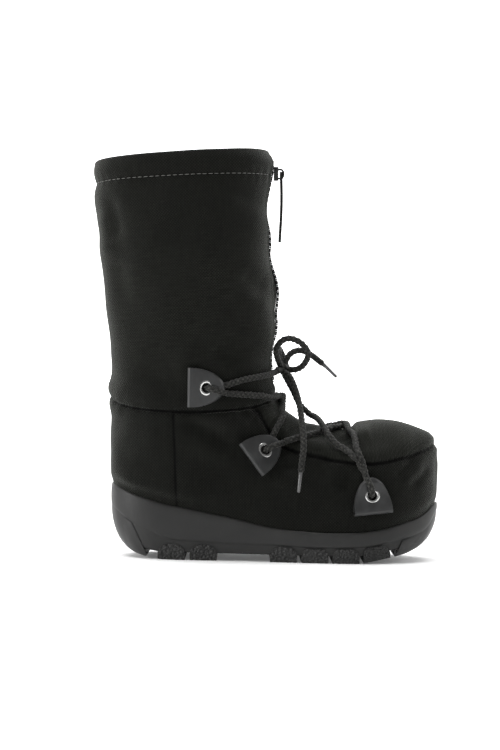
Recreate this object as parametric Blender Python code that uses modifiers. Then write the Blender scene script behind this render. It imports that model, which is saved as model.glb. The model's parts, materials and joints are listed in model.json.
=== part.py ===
"""Tall padded snow boot for the right foot: moulded cup sole, sewn fabric upper, front zip, tabs and lace.

Frame: metres, +X towards the toe, +Y towards the inner side of the foot, +Z up, standing on z = 0.
The origin is on the floor below the heel, HEEL_BACK in front of the back of the sole.
"""

import math

import bmesh
import bpy
import numpy as np
from mathutils import Matrix, Vector
from mathutils.bvhtree import BVHTree

# Sole
SOLE_LENGTH = 0.2905
HEEL_BACK = 0.0530
BALL_WIDTH = 0.1065
RAND_HEIGHT = 0.0645
SOLE_WALL = 0.0040
GROOVE_DEPTH = 0.0020
GROOVE_WIDTH = 0.0016
HEEL_ROLL = 0.0270
TOE_ROLL = 0.0240
LUG_LENGTH = 0.0236
LUG_HEIGHT = 0.0138
CHANNEL_WIDTH = 0.0050
CHANNEL_DEPTH = 0.0055
# Upper
SHAFT_HEIGHT = 0.3600
ANKLE_HEIGHT = 0.1440
SHAFT_DEPTH = 0.1550
SHAFT_WIDTH = 0.1140
SHAFT_AXIS = 0.0035
UPPER_WALL = 0.0030
PLACKET_WIDTH = 0.0250
PLACKET_DEPTH = 0.0024
SEAM_DEPTH = 0.0008
# Inside
INSOLE_THICK = 0.0045
INSOLE_CLEAR = 0.0015
# Lace tabs and eyelets
TAB_LENGTH = 0.0290
TAB_WIDTH = 0.0340
TAB_THICK = 0.0034
TAB_LEAN = 9.0
EYELET_SETBACK = 0.0132
EYELET_FLANGE = 0.0134
EYELET_BARREL = 0.0096
EYELET_HOLE = 0.0078
# Zip
TAPE_THICK = 0.0008
CHAIN_WIDTH = 0.0056
CHAIN_THICK = 0.0018
SLIDER_SHARE = 0.915
SLIDER_WIDTH = 0.0090
SLIDER_HEIGHT = 0.0120
SLIDER_THICK = 0.0030
LUG_THICK = 0.0018
EYE_REACH = 0.0030
PIN_RADIUS = 0.0010
PULL_WIDTH = 0.0066
PULL_THICK = 0.0022
PULL_NECK = 0.0080
PULL_LENGTH = 0.0590
# Lace
LACE = 0.0042
LACE_CLEAR = 0.0009
LACE_STOP = 0.0110
LACE_STACK = 1.06
KNOT = 0.0096
AGLET = 0.0028
AGLET_LENGTH = 0.0150
AGLET_DROOP = 0.12
# Fits
GAP = 0.0003

# Plan of the sole, from back to toe.
# along: share of the sole length.  outer, inner: shares of the ball width.
OUTLINE = (
    # along, outer, inner
    (0.000, 0.000, 0.000),
    (0.008, 0.115, 0.115),
    (0.026, 0.205, 0.205),
    (0.064, 0.297, 0.297),
    (0.115, 0.354, 0.354),
    (0.183, 0.384, 0.382),
    (0.287, 0.402, 0.380),
    (0.390, 0.420, 0.362),
    (0.493, 0.452, 0.380),
    (0.580, 0.480, 0.432),
    (0.665, 0.498, 0.489),
    (0.742, 0.493, 0.511),
    (0.820, 0.451, 0.503),
    (0.882, 0.382, 0.462),
    (0.934, 0.280, 0.383),
    (0.971, 0.165, 0.275),
    (0.992, 0.055, 0.168),
    (1.000, -0.056, 0.056),
)
# The last row's two sides are one point, the tip of the toe.

# Heights along the sole, each as a share of the rand height.
# rand: top edge of the cup.  groove: line round the side.  floor: inside bottom.  under: ground side.
LEVELS = (
    # along, rand, groove, floor, under
    (0.000, 1.000, 0.710, 0.480, 0.040),
    (0.070, 0.872, 0.490, 0.470, 0.040),
    (0.126, 0.800, 0.385, 0.455, 0.022),
    (0.171, 0.745, 0.290, 0.440, 0.000),
    (0.210, 0.715, 0.256, 0.425, 0.000),
    (0.300, 0.640, 0.237, 0.385, 0.000),
    (0.400, 0.550, 0.222, 0.335, 0.000),
    (0.500, 0.455, 0.220, 0.300, 0.000),
    (0.575, 0.425, 0.203, 0.282, 0.000),
    (0.660, 0.406, 0.197, 0.275, 0.000),
    (0.740, 0.414, 0.210, 0.280, 0.000),
    (0.780, 0.432, 0.225, 0.290, 0.022),
    (0.840, 0.480, 0.275, 0.310, 0.076),
    (0.900, 0.560, 0.345, 0.345, 0.120),
    (0.925, 0.590, 0.380, 0.362, 0.145),
    (0.965, 0.685, 0.470, 0.430, 0.165),
    (0.985, 0.760, 0.600, 0.490, 0.180),
    (1.000, 0.800, 0.700, 0.530, 0.190),
)

# Blocks of the tread seen from the side, from heel to toe: middle of each, as a share of the sole length.
LUGS = (0.191, 0.287, 0.528, 0.621, 0.714, 0.807)

# Sections of the shaft, each a ring in a tilted plane.
# back, front: x from the shaft axis, shares of the shaft depth.  Heights: shares of ankle to rim.
# outer, inner: half widths, shares of the shaft width.  dip: drop of the sides, share of ankle height.
SHAFT_RINGS = (
    # back_x, back_z, front_x, front_z, outer, inner, dip, square
    (-0.494, 0.940, 0.505, 1.000, 0.492, 0.492, 0.000, 2.25),
    (-0.499, 0.902, 0.532, 0.958, 0.504, 0.504, 0.000, 2.25),
    (-0.486, 0.857, 0.526, 0.903, 0.493, 0.493, 0.000, 2.25),
    (-0.491, 0.812, 0.516, 0.845, 0.502, 0.502, 0.000, 2.25),
    (-0.476, 0.741, 0.503, 0.759, 0.500, 0.500, 0.000, 2.25),
    (-0.447, 0.655, 0.520, 0.676, 0.491, 0.491, 0.000, 2.25),
    (-0.447, 0.583, 0.525, 0.593, 0.496, 0.496, 0.000, 2.25),
    (-0.436, 0.491, 0.541, 0.495, 0.491, 0.491, 0.000, 2.25),
    (-0.419, 0.361, 0.553, 0.380, 0.482, 0.482, 0.000, 2.25),
    (-0.400, 0.260, 0.560, 0.278, 0.474, 0.474, 0.007, 2.25),
    (-0.387, 0.167, 0.546, 0.167, 0.465, 0.465, 0.021, 2.25),
    (-0.374, 0.083, 0.562, 0.083, 0.460, 0.460, 0.049, 2.25),
    (-0.379, 0.028, 0.566, 0.037, 0.465, 0.465, 0.083, 2.25),
)

# Sections of the foot, fanning round the throat from the ankle seam to the toe.
# Lengths along: shares of the sole length.  Heights: shares of the ankle height.
# outer, inner: half widths, shares of the ball width.  widest: share of the way from low to high.
FOOT_RINGS = (
    # low_x, low_z, high_x, high_z, outer, inner, dip, widest, square_low, square_high
    (-0.006, 0.986, 0.494, 1.004, 0.486, 0.486, 0.097, 0.50, 2.25, 2.25),
    (-0.006, 0.938, 0.499, 0.983, 0.497, 0.497, 0.090, 0.50, 2.25, 2.25),
    (0.000, 0.854, 0.508, 0.958, 0.496, 0.494, 0.069, 0.50, 2.30, 2.25),
    (0.000, 0.771, 0.519, 0.932, 0.492, 0.488, 0.042, 0.50, 2.30, 2.25),
    (-0.004, 0.674, 0.530, 0.917, 0.484, 0.478, 0.021, 0.50, 2.35, 2.25),
    (-0.007, 0.576, 0.542, 0.903, 0.476, 0.468, 0.000, 0.50, 2.40, 2.25),
    (-0.005, 0.470, 0.552, 0.891, 0.468, 0.460, 0.000, 0.50, 2.45, 2.25),
    (0.000, 0.330, 0.564, 0.879, 0.462, 0.452, 0.000, 0.49, 2.50, 2.25),
    (0.000, 0.130, 0.578, 0.868, 0.460, 0.448, 0.000, 0.50, 2.60, 2.25),
    (0.012, -0.110, 0.592, 0.861, 0.460, 0.446, 0.000, 0.52, 2.80, 2.25),
    (0.080, -0.220, 0.609, 0.854, 0.462, 0.444, 0.000, 0.55, 3.00, 2.25),
    (0.240, -0.240, 0.633, 0.844, 0.466, 0.446, 0.000, 0.57, 3.00, 2.25),
    (0.400, -0.240, 0.664, 0.835, 0.474, 0.452, 0.000, 0.58, 3.00, 2.25),
    (0.530, -0.240, 0.697, 0.829, 0.484, 0.466, 0.000, 0.59, 3.00, 2.25),
    (0.625, -0.230, 0.726, 0.824, 0.491, 0.482, 0.000, 0.60, 3.00, 2.25),
    (0.699, -0.220, 0.756, 0.846, 0.494, 0.496, 0.000, 0.60, 3.00, 2.30),
    (0.761, -0.210, 0.794, 0.862, 0.481, 0.503, 0.000, 0.60, 3.00, 2.30),
    (0.816, -0.200, 0.833, 0.865, 0.454, 0.494, 0.000, 0.60, 3.00, 2.30),
    (0.864, -0.180, 0.873, 0.856, 0.412, 0.468, 0.000, 0.60, 3.00, 2.30),
    (0.905, -0.150, 0.916, 0.828, 0.350, 0.422, 0.000, 0.60, 3.00, 2.30),
    (0.940, -0.100, 0.959, 0.783, 0.270, 0.355, 0.000, 0.60, 2.90, 2.30),
    (0.967, -0.050, 0.984, 0.736, 0.182, 0.270, 0.000, 0.60, 2.80, 2.30),
    (0.985, 0.050, 0.995, 0.684, 0.092, 0.172, 0.000, 0.58, 2.60, 2.30),
    (0.994, 0.200, 0.999, 0.600, 0.030, 0.078, 0.000, 0.56, 2.30, 2.30),
)

# Lace tabs, on both sides: where the eyelet is, and which way the round tip points in side view.
TABS = (
    # name, along sole, of ankle height, degrees up from the toe
    ("upper", 0.285, 1.044, 0),
    ("middle", 0.460, 0.660, 37),
    ("lower", 0.785, 0.411, 96),
)

# Runs of lace, seen from the outer side.  Each point: share along the sole, of the ball width out from
# the middle, of the ankle height.  The runs on the boot are laid onto the fabric near these points.
LOWER_TO_CREST = ((0.771, 0.500, 0.500), (0.759, 0.480, 0.590), (0.746, 0.440, 0.660), (0.734, 0.360, 0.730),
                  (0.718, 0.180, 0.800))
MIDDLE_TO_CREST = ((0.506, 0.410, 0.705), (0.565, 0.350, 0.750), (0.613, 0.290, 0.780),
                   (0.660, 0.170, 0.815))
CREST_CROSSING = (0.706, 0.000, 0.840)
LOWER_TO_RISE = ((0.765, 0.490, 0.540), (0.745, 0.450, 0.620), (0.715, 0.410, 0.698), (0.685, 0.320, 0.743),
                 (0.656, 0.220, 0.795), (0.628, 0.090, 0.835), (0.603, 0.010, 0.862))
UPPER_TO_THROAT = ((0.335, 0.480, 1.014), (0.400, 0.410, 1.004), (0.465, 0.260, 0.997))
MIDDLE_TO_THROAT = ((0.487, 0.400, 0.750), (0.504, 0.290, 0.840), (0.514, 0.130, 0.920))
THROAT_CROSSING = (0.510, 0.000, 0.990)
UPPER_TO_KNOT = ((0.345, 0.480, 1.060), (0.400, 0.410, 1.097), (0.463, 0.260, 1.125), (0.490, 0.120, 1.145),
                 (0.500, 0.065, 1.160))
KNOT_AT = (0.517, 0.000, 1.184)
FREE_LACE = (
    # name, what its ends meet, route
    ("lace_rise", "bar first, knot last",
     ((0.595, 0.000, 0.890), (0.567, 0.010, 0.990), (0.545, 0.015, 1.070), (0.530, 0.010, 1.130))),
    ("bow_loop_outer", "knot first, knot last",
     ((0.510, 0.050, 1.205), (0.500, 0.110, 1.240), (0.497, 0.160, 1.290), (0.515, 0.190, 1.340),
      (0.545, 0.200, 1.350), (0.575, 0.200, 1.330), (0.590, 0.180, 1.280), (0.585, 0.150, 1.225),
      (0.563, 0.070, 1.212), (0.550, 0.040, 1.200))),
    ("bow_loop_inner", "knot first, knot last",
     ((0.508, -0.035, 1.235), (0.505, -0.110, 1.272), (0.508, -0.200, 1.290), (0.515, -0.270, 1.270),
      (0.523, -0.270, 1.225), (0.526, -0.200, 1.200), (0.530, -0.110, 1.180), (0.531, -0.055, 1.172))),
    ("lace_end_front", "knot first, aglet last",
     ((0.527, -0.010, 1.232), (0.545, -0.050, 1.262), (0.570, -0.080, 1.278),
      (0.605, -0.100, 1.262), (0.644, -0.110, 1.200))),
    ("lace_end_outer", "knot first, aglet last",
     ((0.527, 0.075, 1.155), (0.539, 0.110, 1.120), (0.553, 0.165, 1.060), (0.565, 0.225, 0.985),
      (0.573, 0.300, 0.900),
      (0.580, 0.400, 0.800), (0.582, 0.480, 0.700), (0.577, 0.525, 0.600), (0.574, 0.535, 0.545))),
)

SIDE_COLUMNS = 13
SOLE_COLUMNS = 28

# Collections and materials
for leftover in list(bpy.data.objects):
    bpy.data.objects.remove(leftover, do_unlink=True)
BOOT = bpy.data.collections.new("Snow boot")
CUTTERS = bpy.data.collections.new("Cutters")
for collection in (BOOT, CUTTERS):
    bpy.context.scene.collection.children.link(collection)
CUTTERS.hide_render = True


def material(name, colour, roughness, metallic=0.0):
    made = bpy.data.materials.new(name)
    made.use_nodes = True
    shader = made.node_tree.nodes["Principled BSDF"]
    shader.inputs["Base Color"].default_value = (*colour, 1.0)
    shader.inputs["Roughness"].default_value = roughness
    shader.inputs["Metallic"].default_value = metallic
    made.diffuse_color = (*colour, 1.0)
    return made


FABRIC = material("Black fabric", (0.012, 0.013, 0.012), 0.85)
RUBBER = material("Sole rubber", (0.040, 0.040, 0.038), 0.65)
BOARD = material("Insole felt", (0.060, 0.060, 0.060), 0.95)
LEATHER = material("Tab leather", (0.045, 0.045, 0.045), 0.45)
NICKEL = material("Nickel", (0.560, 0.560, 0.550), 0.25, 1.0)
LACE_LOOK = material("Lace", (0.014, 0.014, 0.013), 0.75)
TAPE = material("Zip tape", (0.010, 0.010, 0.010), 0.80)
TEETH = material("Zip teeth", (0.020, 0.020, 0.020), 0.40)
ENAMEL = material("Black enamel", (0.015, 0.015, 0.015), 0.35, 0.6)
PLASTIC = material("Aglet plastic", (0.100, 0.100, 0.100), 0.20)


# Helpers
def mesh_object(name, points, faces, look, collection=None):
    mesh = bpy.data.meshes.new(name)
    mesh.from_pydata([tuple(p) for p in points], [], faces)
    body = bmesh.new()
    body.from_mesh(mesh)
    bmesh.ops.recalc_face_normals(body, faces=body.faces)
    body.to_mesh(mesh)
    body.free()
    mesh.shade_smooth()
    mesh.set_sharp_from_angle(angle=math.radians(38))
    made = bpy.data.objects.new(name, mesh)
    (collection or BOOT).objects.link(made)
    if look:
        mesh.materials.append(look)
    return made


def cutter(made):
    for holder in list(made.users_collection):
        holder.objects.unlink(made)
    CUTTERS.objects.link(made)
    made.hide_render = True
    made.display_type = "WIRE"
    return made


def boolean(target, other, operation, solver="EXACT"):
    change = target.modifiers.new(f"{operation.title()} {other.name}", "BOOLEAN")
    change.operation = operation
    change.solver = solver
    change.object = other
    cutter(other)
    return target


def along(share):
    return share * SOLE_LENGTH - HEEL_BACK


def level_slopes(keys, value):
    """Slopes at the rows that keep the curve between its rows' values."""
    rate = np.diff(value) / np.diff(keys)
    slope = np.zeros(len(keys))
    same = rate[1:] * rate[:-1] > 0
    slope[1:-1][same] = 2 * rate[1:][same] * rate[:-1][same] / (rate[1:] + rate[:-1])[same]
    slope[0], slope[-1] = rate[0], rate[-1]
    return slope


def smooth_table(rows, columns, at):
    """Cubic reading of the table's columns at the given values of its first column."""
    rows = np.array(rows, float)
    keys = rows[:, 0]
    at = np.clip(at, keys[0], keys[-1])
    span = np.clip(np.searchsorted(keys, at, "right") - 1, 0, len(keys) - 2)
    step = keys[span + 1] - keys[span]
    t = (at - keys[span]) / step
    out = []
    for column in columns:
        value = rows[:, column]
        slope = level_slopes(keys, value)
        out.append(
            value[span] * (2 * t**3 - 3 * t**2 + 1)
            + slope[span] * step * (t**3 - 2 * t**2 + t)
            + value[span + 1] * (3 * t**2 - 2 * t**3)
            + slope[span + 1] * step * (t**3 - t**2)
        )
    return out


def level(x):
    """Heights (rand, groove, floor, under) of the sole at x."""
    share = (np.asarray(x, float) + HEEL_BACK) / SOLE_LENGTH
    return [value * RAND_HEIGHT for value in smooth_table(LEVELS, (1, 2, 3, 4), share)]


def plan_outline(count):
    """The sole's outline, back to toe on the outer side, then back on the inner: 2 x count points."""
    outer = [(along(a), -o * BALL_WIDTH) for a, o, i in OUTLINE]
    inner = [(along(a), i * BALL_WIDTH) for a, o, i in OUTLINE]
    loop = np.array(outer + inner[-2:0:-1])
    fine = []
    for k in range(len(loop)):
        p0, p1, p2, p3 = (loop[(k + d) % len(loop)] for d in (-1, 0, 1, 2))
        for t in np.linspace(0, 1, 12, endpoint=False):
            fine.append(0.5 * (2 * p1 + (p2 - p0) * t + (2 * p0 - 5 * p1 + 4 * p2 - p3) * t**2
                               + (3 * p1 - p0 - 3 * p2 + p3) * t**3))
    fine = np.array(fine)
    half = (len(outer) - 1) * 12
    sides = []
    for side in (fine[: half + 1], np.vstack([fine[half:], fine[:1]])):
        run = np.concatenate([[0], np.cumsum(np.hypot(*np.diff(side, axis=0).T))])
        want = np.linspace(0, run[-1], count + 1)
        sides.append(np.column_stack([np.interp(want, run, side[:, d]) for d in (0, 1)]))
    return np.vstack([sides[0][:-1], sides[1][:-1]])


def inward(loop):
    """Unit normals of a closed plan loop, pointing in."""
    ahead = np.roll(loop, -1, axis=0) - np.roll(loop, 1, axis=0)
    normal = np.column_stack([-ahead[:, 1], ahead[:, 0]])
    return normal / np.linalg.norm(normal, axis=1)[:, None]


def roll_in(loop, angle):
    """Moves the loop's heel and toe ends in, as the rounded corners under them do at this angle."""
    moved = loop.copy()
    x = loop[:, 0]
    back, tip = along(0), along(1)
    heel = np.clip((back + 0.21 * SOLE_LENGTH - x) / (0.21 * SOLE_LENGTH), 0, 1) ** 1.5
    toe = np.clip((x - tip + 0.21 * SOLE_LENGTH) / (0.21 * SOLE_LENGTH), 0, 1) ** 1.5
    moved[:, 0] += (1 - math.sin(angle)) * (HEEL_ROLL * heel - TOE_ROLL * toe)
    return moved


def stack(name, rings, look):
    """A closed solid through rings of equal count, capped across by strips from side to side."""
    count = len(rings[0])
    points = np.vstack(rings)
    faces = []
    for k in range(len(rings) - 1):
        for j in range(count):
            a, b = k * count + j, k * count + (j + 1) % count
            faces.append((a, b, b + count, a + count))
    for start in (0, (len(rings) - 1) * count):
        half = count // 2
        for j in range(half):
            a, b = start + j, start + j + 1
            c, d = start + (count - j - 1) % count, start + (count - j) % count
            face = list(dict.fromkeys((a, b, c, d)))
            if len(face) > 2:
                faces.append(tuple(face))
    return mesh_object(name, points, faces, look)


def prism_y(name, outline, low, high):
    """An XZ outline extruded across the boot from y = low to y = high."""
    count = len(outline)
    points = [(x, low, z) for x, z in outline] + [(x, high, z) for x, z in outline]
    faces = [(j, (j + 1) % count, (j + 1) % count + count, j + count) for j in range(count)]
    faces += [tuple(range(count)), tuple(range(count, 2 * count))]
    return mesh_object(name, points, faces, None, CUTTERS)


# Sole
BASE = plan_outline(SOLE_COLUMNS)
BASE_IN = inward(BASE)


def band(angle, inset, share=None):
    """A ring below the groove, from the ground (angle 0) up to the groove (90 degrees)."""
    ring = roll_in(BASE + BASE_IN * inset, angle)
    groove, under = level(BASE[:, 0])[1], level(ring[:, 0])[3]
    share = 1 - math.cos(angle) if share is None else share
    height = under + (groove - GROOVE_WIDTH / 2 - under) * share
    return np.column_stack([ring, height])


def wall(inset, share, raise_by=0.0):
    """A ring on the side wall, from the groove (share 0) to the rand (share 1)."""
    ring = BASE + BASE_IN * inset
    rand, groove = level(BASE[:, 0])[:2]
    return np.column_stack([ring, groove + (rand - groove) * share + raise_by])


def sole():
    floor_ring = BASE + BASE_IN * SOLE_WALL
    floor = np.column_stack([floor_ring, level(floor_ring[:, 0])[2]])
    cup = stack("outsole", [
        band(math.radians(75), GROOVE_DEPTH, 0.58),
        band(math.radians(82), GROOVE_DEPTH, 0.80),
        wall(GROOVE_DEPTH, 0.0, GROOVE_WIDTH / 2),
        wall(0.0, 0.0, GROOVE_WIDTH),
        wall(-0.0003, 0.5),
        wall(0.35 * SOLE_WALL, 0.92),
        wall(0.50 * SOLE_WALL, 1.0),
        wall(SOLE_WALL, 1.0),
        floor,
    ], RUBBER)
    lining = roll_in(BASE + BASE_IN * 0.65 * SOLE_WALL, math.radians(75))
    core = roll_in(BASE + BASE_IN * 0.65 * SOLE_WALL, math.radians(40))
    tread = stack("tread", [band(math.radians(a), 0.0) for a in (0, 16, 32, 48, 64, 90)] + [
        band(math.radians(90), 0.6 * SOLE_WALL),
        np.column_stack([lining, level(lining[:, 0])[2] - 0.2 * SOLE_WALL]),
        np.column_stack([core, level(core[:, 0])[2] - 0.4 * SOLE_WALL])], RUBBER)
    reach = BALL_WIDTH
    blocks = []
    for k, middle in enumerate(LUGS):
        x, half = along(middle), LUG_LENGTH / 2
        under = level(x)[3]
        dome = [(x + half * math.cos(a), under + LUG_HEIGHT * (0.42 + 0.58 * math.sin(a)))
                for a in np.radians(np.linspace(0, 180, 9))]
        outline = [(x - half, under - LUG_HEIGHT), (x + half, under - LUG_HEIGHT)] + dome
        blocks.append(prism_y(f"lug_{k + 1}", outline, -reach, reach))
    deep, high = -0.2 * RAND_HEIGHT, RAND_HEIGHT
    blocks.append(prism_y("heel_bumper", [
        (along(-0.05), deep), (along(0.112), deep), (along(0.116), 0.07 * high),
        (along(0.065), 0.52 * high), (along(-0.05), high)], -reach, reach))
    blocks.append(prism_y("toe_bumper", [
        (along(0.858), deep), (along(1.05), deep), (along(1.05), high),
        (along(0.90), high), (along(0.884), 0.30 * high), (along(0.862), 0.10 * high)], -reach, reach))
    kept = bmesh.new()
    for block in blocks:
        kept.from_mesh(block.data)
        bpy.data.objects.remove(block, do_unlink=True)
    mesh = bpy.data.meshes.new("tread_blocks")
    kept.to_mesh(mesh)
    kept.free()
    keep = bpy.data.objects.new("tread_blocks", mesh)
    CUTTERS.objects.link(keep)
    boolean(tread, keep, "INTERSECT", "MANIFOLD")
    for side in (-1, 1):
        y = side * 0.155 * BALL_WIDTH
        under = [(along(s), level(along(s))[3] + CHANNEL_DEPTH)
                 for s in (0.10, 0.3, 0.5, 0.7, 0.78, 0.84, 0.90)]
        outline = [(along(0.90), -RAND_HEIGHT), (along(0.10), -RAND_HEIGHT)] + under
        boolean(tread, prism_y(f"channel_{side}", outline,
                               y - CHANNEL_WIDTH / 2, y + CHANNEL_WIDTH / 2), "DIFFERENCE", "MANIFOLD")
    return boolean(cup, tread, "UNION", "MANIFOLD")


def insole():
    inset = SOLE_WALL + GAP + UPPER_WALL + INSOLE_CLEAR
    ring = BASE + BASE_IN * inset
    floor = level(ring[:, 0])[2] + GAP
    low = np.column_stack([ring, floor])
    high = np.column_stack([ring, floor + INSOLE_THICK])
    return stack("insole", [low, high], BOARD)


# Upper
def ring_of(low, high, outer, inner, dip, widest, square_low, square_high, columns=SIDE_COLUMNS):
    """A closed ring from low (x, z) by the outer side to high, and back by the inner side."""
    low, high = np.array(low), np.array(high)
    run = high - low
    across = np.array([-run[1], run[0]]) / np.linalg.norm(run)
    if across[1] > 0:
        across = -across
    rows = []
    for side, half in ((-1, outer), (1, inner)):
        edge = math.asin(min(1, PLACKET_WIDTH / 2 / half) ** (square_high / 2))
        inner_edge = math.asin(min(1, (PLACKET_WIDTH / 2 - PLACKET_DEPTH) / half) ** (square_high / 2))
        angles = list(np.linspace(0, math.pi - edge, columns + 1)) + [math.pi - inner_edge, math.pi]
        row = []
        for angle in angles:
            square = square_low if angle < math.pi / 2 else square_high
            reach = abs(math.cos(angle)) ** (2 / square)
            share = widest - widest * reach if angle < math.pi / 2 else widest + (1 - widest) * reach
            width = abs(math.sin(angle)) ** (2 / square)
            x, z = low + run * share + across * dip * width
            row.append((x, side * half * width, z))
        rows.append(row)
    return np.array(rows[0] + rows[1][-2:0:-1])


def upper_rings(columns=SIDE_COLUMNS):
    rise = SHAFT_HEIGHT - ANKLE_HEIGHT
    rings = []
    for bx, bz, fx, fz, outer, inner, dip, square in SHAFT_RINGS:
        rings.append(ring_of(
            (SHAFT_AXIS + bx * SHAFT_DEPTH, ANKLE_HEIGHT + bz * rise),
            (SHAFT_AXIS + fx * SHAFT_DEPTH, ANKLE_HEIGHT + fz * rise),
            outer * SHAFT_WIDTH, inner * SHAFT_WIDTH, dip * ANKLE_HEIGHT, 0.5, square, square, columns))
    for lx, lz, hx, hz, outer, inner, dip, widest, square_low, square_high in FOOT_RINGS:
        rings.append(ring_of(
            (along(lx), lz * ANKLE_HEIGHT), (along(hx), hz * ANKLE_HEIGHT),
            outer * BALL_WIDTH, inner * BALL_WIDTH, dip * ANKLE_HEIGHT, widest, square_low, square_high,
            columns))
    return np.array(rings)


def tucked(points):
    """Moves what lies below the rand inside the cup, along the sole outline's normals."""
    flat = points.reshape(-1, 3).copy()
    loop = plan_outline(4 * SOLE_COLUMNS)
    after = np.roll(loop, -1, axis=0)
    edge = after - loop
    length = np.linalg.norm(edge, axis=1)
    normal = np.column_stack([-edge[:, 1], edge[:, 0]]) / length[:, None]
    rand = level(flat[:, 0])[0]
    need = SOLE_WALL + GAP
    blend = np.clip((flat[:, 2] - rand - 0.004) / 0.014, 0, 1)
    blend = blend * blend * (3 - 2 * blend)
    for k, (x, y, z) in enumerate(flat):
        if blend[k] >= 1:
            continue
        offset = np.array([x, y]) - loop
        t = np.clip((offset * edge).sum(1) / length**2, 0, 1)
        gap = offset - edge * t[:, None]
        distance = np.linalg.norm(gap, axis=1)
        near = distance.argmin()
        inside = distance[near] if (offset[near] * normal[near]).sum() > 0 else -distance[near]
        wanted = need * (1 - blend[k]) - 0.004 * blend[k]
        if inside < wanted:
            flat[k, :2] += normal[near] * (wanted - inside)
    return flat.reshape(points.shape)


def skin_normals(grid):
    ahead = np.empty_like(grid)
    ahead[1:-1] = grid[2:] - grid[:-2]
    ahead[0], ahead[-1] = grid[1] - grid[0], grid[-1] - grid[-2]
    round_ = np.roll(grid, -1, axis=1) - np.roll(grid, 1, axis=1)
    normal = np.cross(round_, ahead)
    return normal / np.linalg.norm(normal, axis=2)[:, :, None]


def upper_skin(columns=SIDE_COLUMNS):
    """The upper's outer grid of points: rings from rim to toe, columns from the back round the outer side."""
    grid = tucked(upper_rings(columns))
    normal = skin_normals(grid)
    outward = np.sign((normal[3] * (grid[3] - grid[3].mean(axis=0))).sum())
    normal = normal * outward
    shaft = len(SHAFT_RINGS)
    front = columns + 2
    for ring in range(1, shaft):
        for column in (front - 1, front, front + 1):
            grid[ring, column] -= normal[ring, column] * PLACKET_DEPTH
    grid[2] -= normal[2] * SEAM_DEPTH
    grid[shaft] -= normal[shaft] * SEAM_DEPTH
    return grid, normal


def upper():
    grid, normal = upper_skin()
    rows, count = grid.shape[:2]
    inside = grid - normal * UPPER_WALL
    inside[0] = grid[0] - normal[0] * UPPER_WALL
    points = list(grid.reshape(-1, 3)) + list(inside.reshape(-1, 3))
    faces = []
    for skin in (0, rows * count):
        for k in range(rows - 1):
            for j in range(count):
                a, b = skin + k * count + j, skin + k * count + (j + 1) % count
                faces.append((a, b, b + count, a + count))
        last = skin + (rows - 1) * count
        points.append(np.mean([points[last + j] for j in range(count)], axis=0))
        tip = len(points) - 1
        faces += [(last + j, last + (j + 1) % count, tip) for j in range(count)]
    for j in range(count):
        a, b = j, (j + 1) % count
        faces.append((a, b, b + rows * count, a + rows * count))
    shell = mesh_object("upper", points, faces, FABRIC)
    floor = [(along(s), float(level(along(s))[2]) + GAP) for s in np.linspace(0, 1, 25)]
    floor = [(along(-0.2), floor[0][1])] + floor + [(along(1.2), floor[-1][1])]
    below = prism_y("below_floor", [(along(1.2), -0.05), (along(-0.2), -0.05)] + floor,
                    -BALL_WIDTH, BALL_WIDTH)
    boolean(shell, below, "DIFFERENCE", "MANIFOLD")
    boolean(shell, cup_space(), "DIFFERENCE", "MANIFOLD")
    return shell


def cup_space():
    """The sole's wall with its clearance, as a ring that the upper's foot stays out of."""
    inner = BASE + BASE_IN * (SOLE_WALL + GAP)
    outer = BASE - BASE_IN * 0.4 * BALL_WIDTH
    top = level(BASE[:, 0])[0] + GAP
    count = len(BASE)
    deep = np.full(count, -RAND_HEIGHT)
    rings = [np.column_stack([loop, height]) for loop, height in
             ((inner, deep), (outer, deep), (outer, top), (inner, top))]
    faces = []
    for k in range(4):
        for j in range(count):
            a, b = k * count + j, k * count + (j + 1) % count
            c, d = (k + 1) % 4 * count + (j + 1) % count, (k + 1) % 4 * count + j
            faces.append((a, b, c, d))
    return mesh_object("cup_space", np.vstack(rings), faces, None, CUTTERS)


# Skin of the finished upper, for what lies on it
GRID, GRID_NORMAL = upper_skin()
SKIN_POINTS = [Vector(p) for p in GRID.reshape(-1, 3)]
ROWS, AROUND = GRID.shape[:2]
SKIN = BVHTree.FromPolygons(SKIN_POINTS, [
    (k * AROUND + j, k * AROUND + (j + 1) % AROUND, (k + 1) * AROUND + (j + 1) % AROUND, (k + 1) * AROUND + j)
    for k in range(ROWS - 1) for j in range(AROUND)])


def off_skin(point, distance):
    """The point moved along the skin's normal until it stands this far off it."""
    near, normal, face, gap = SKIN.find_nearest(point)
    row, column = divmod(face, AROUND)
    normal = Vector(GRID_NORMAL[row, column] + GRID_NORMAL[row, (column + 1) % AROUND]
                    + GRID_NORMAL[row + 1, column] + GRID_NORMAL[row + 1, (column + 1) % AROUND]).normalized()
    return near + normal * distance, normal


def as_mesh(curve_object):
    """The curve object as a welded mesh object in its place."""
    bpy.context.view_layer.update()
    graph = bpy.context.evaluated_depsgraph_get()
    mesh = bpy.data.meshes.new_from_object(curve_object.evaluated_get(graph))
    body = bmesh.new()
    body.from_mesh(mesh)
    bmesh.ops.remove_doubles(body, verts=body.verts, dist=0.00001)
    bmesh.ops.recalc_face_normals(body, faces=body.faces)
    body.to_mesh(mesh)
    body.free()
    name, place = curve_object.name, curve_object.matrix_world.copy()
    bpy.data.objects.remove(curve_object, do_unlink=True)
    made = bpy.data.objects.new(name, mesh)
    made.matrix_world = place
    BOOT.objects.link(made)
    return made


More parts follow.
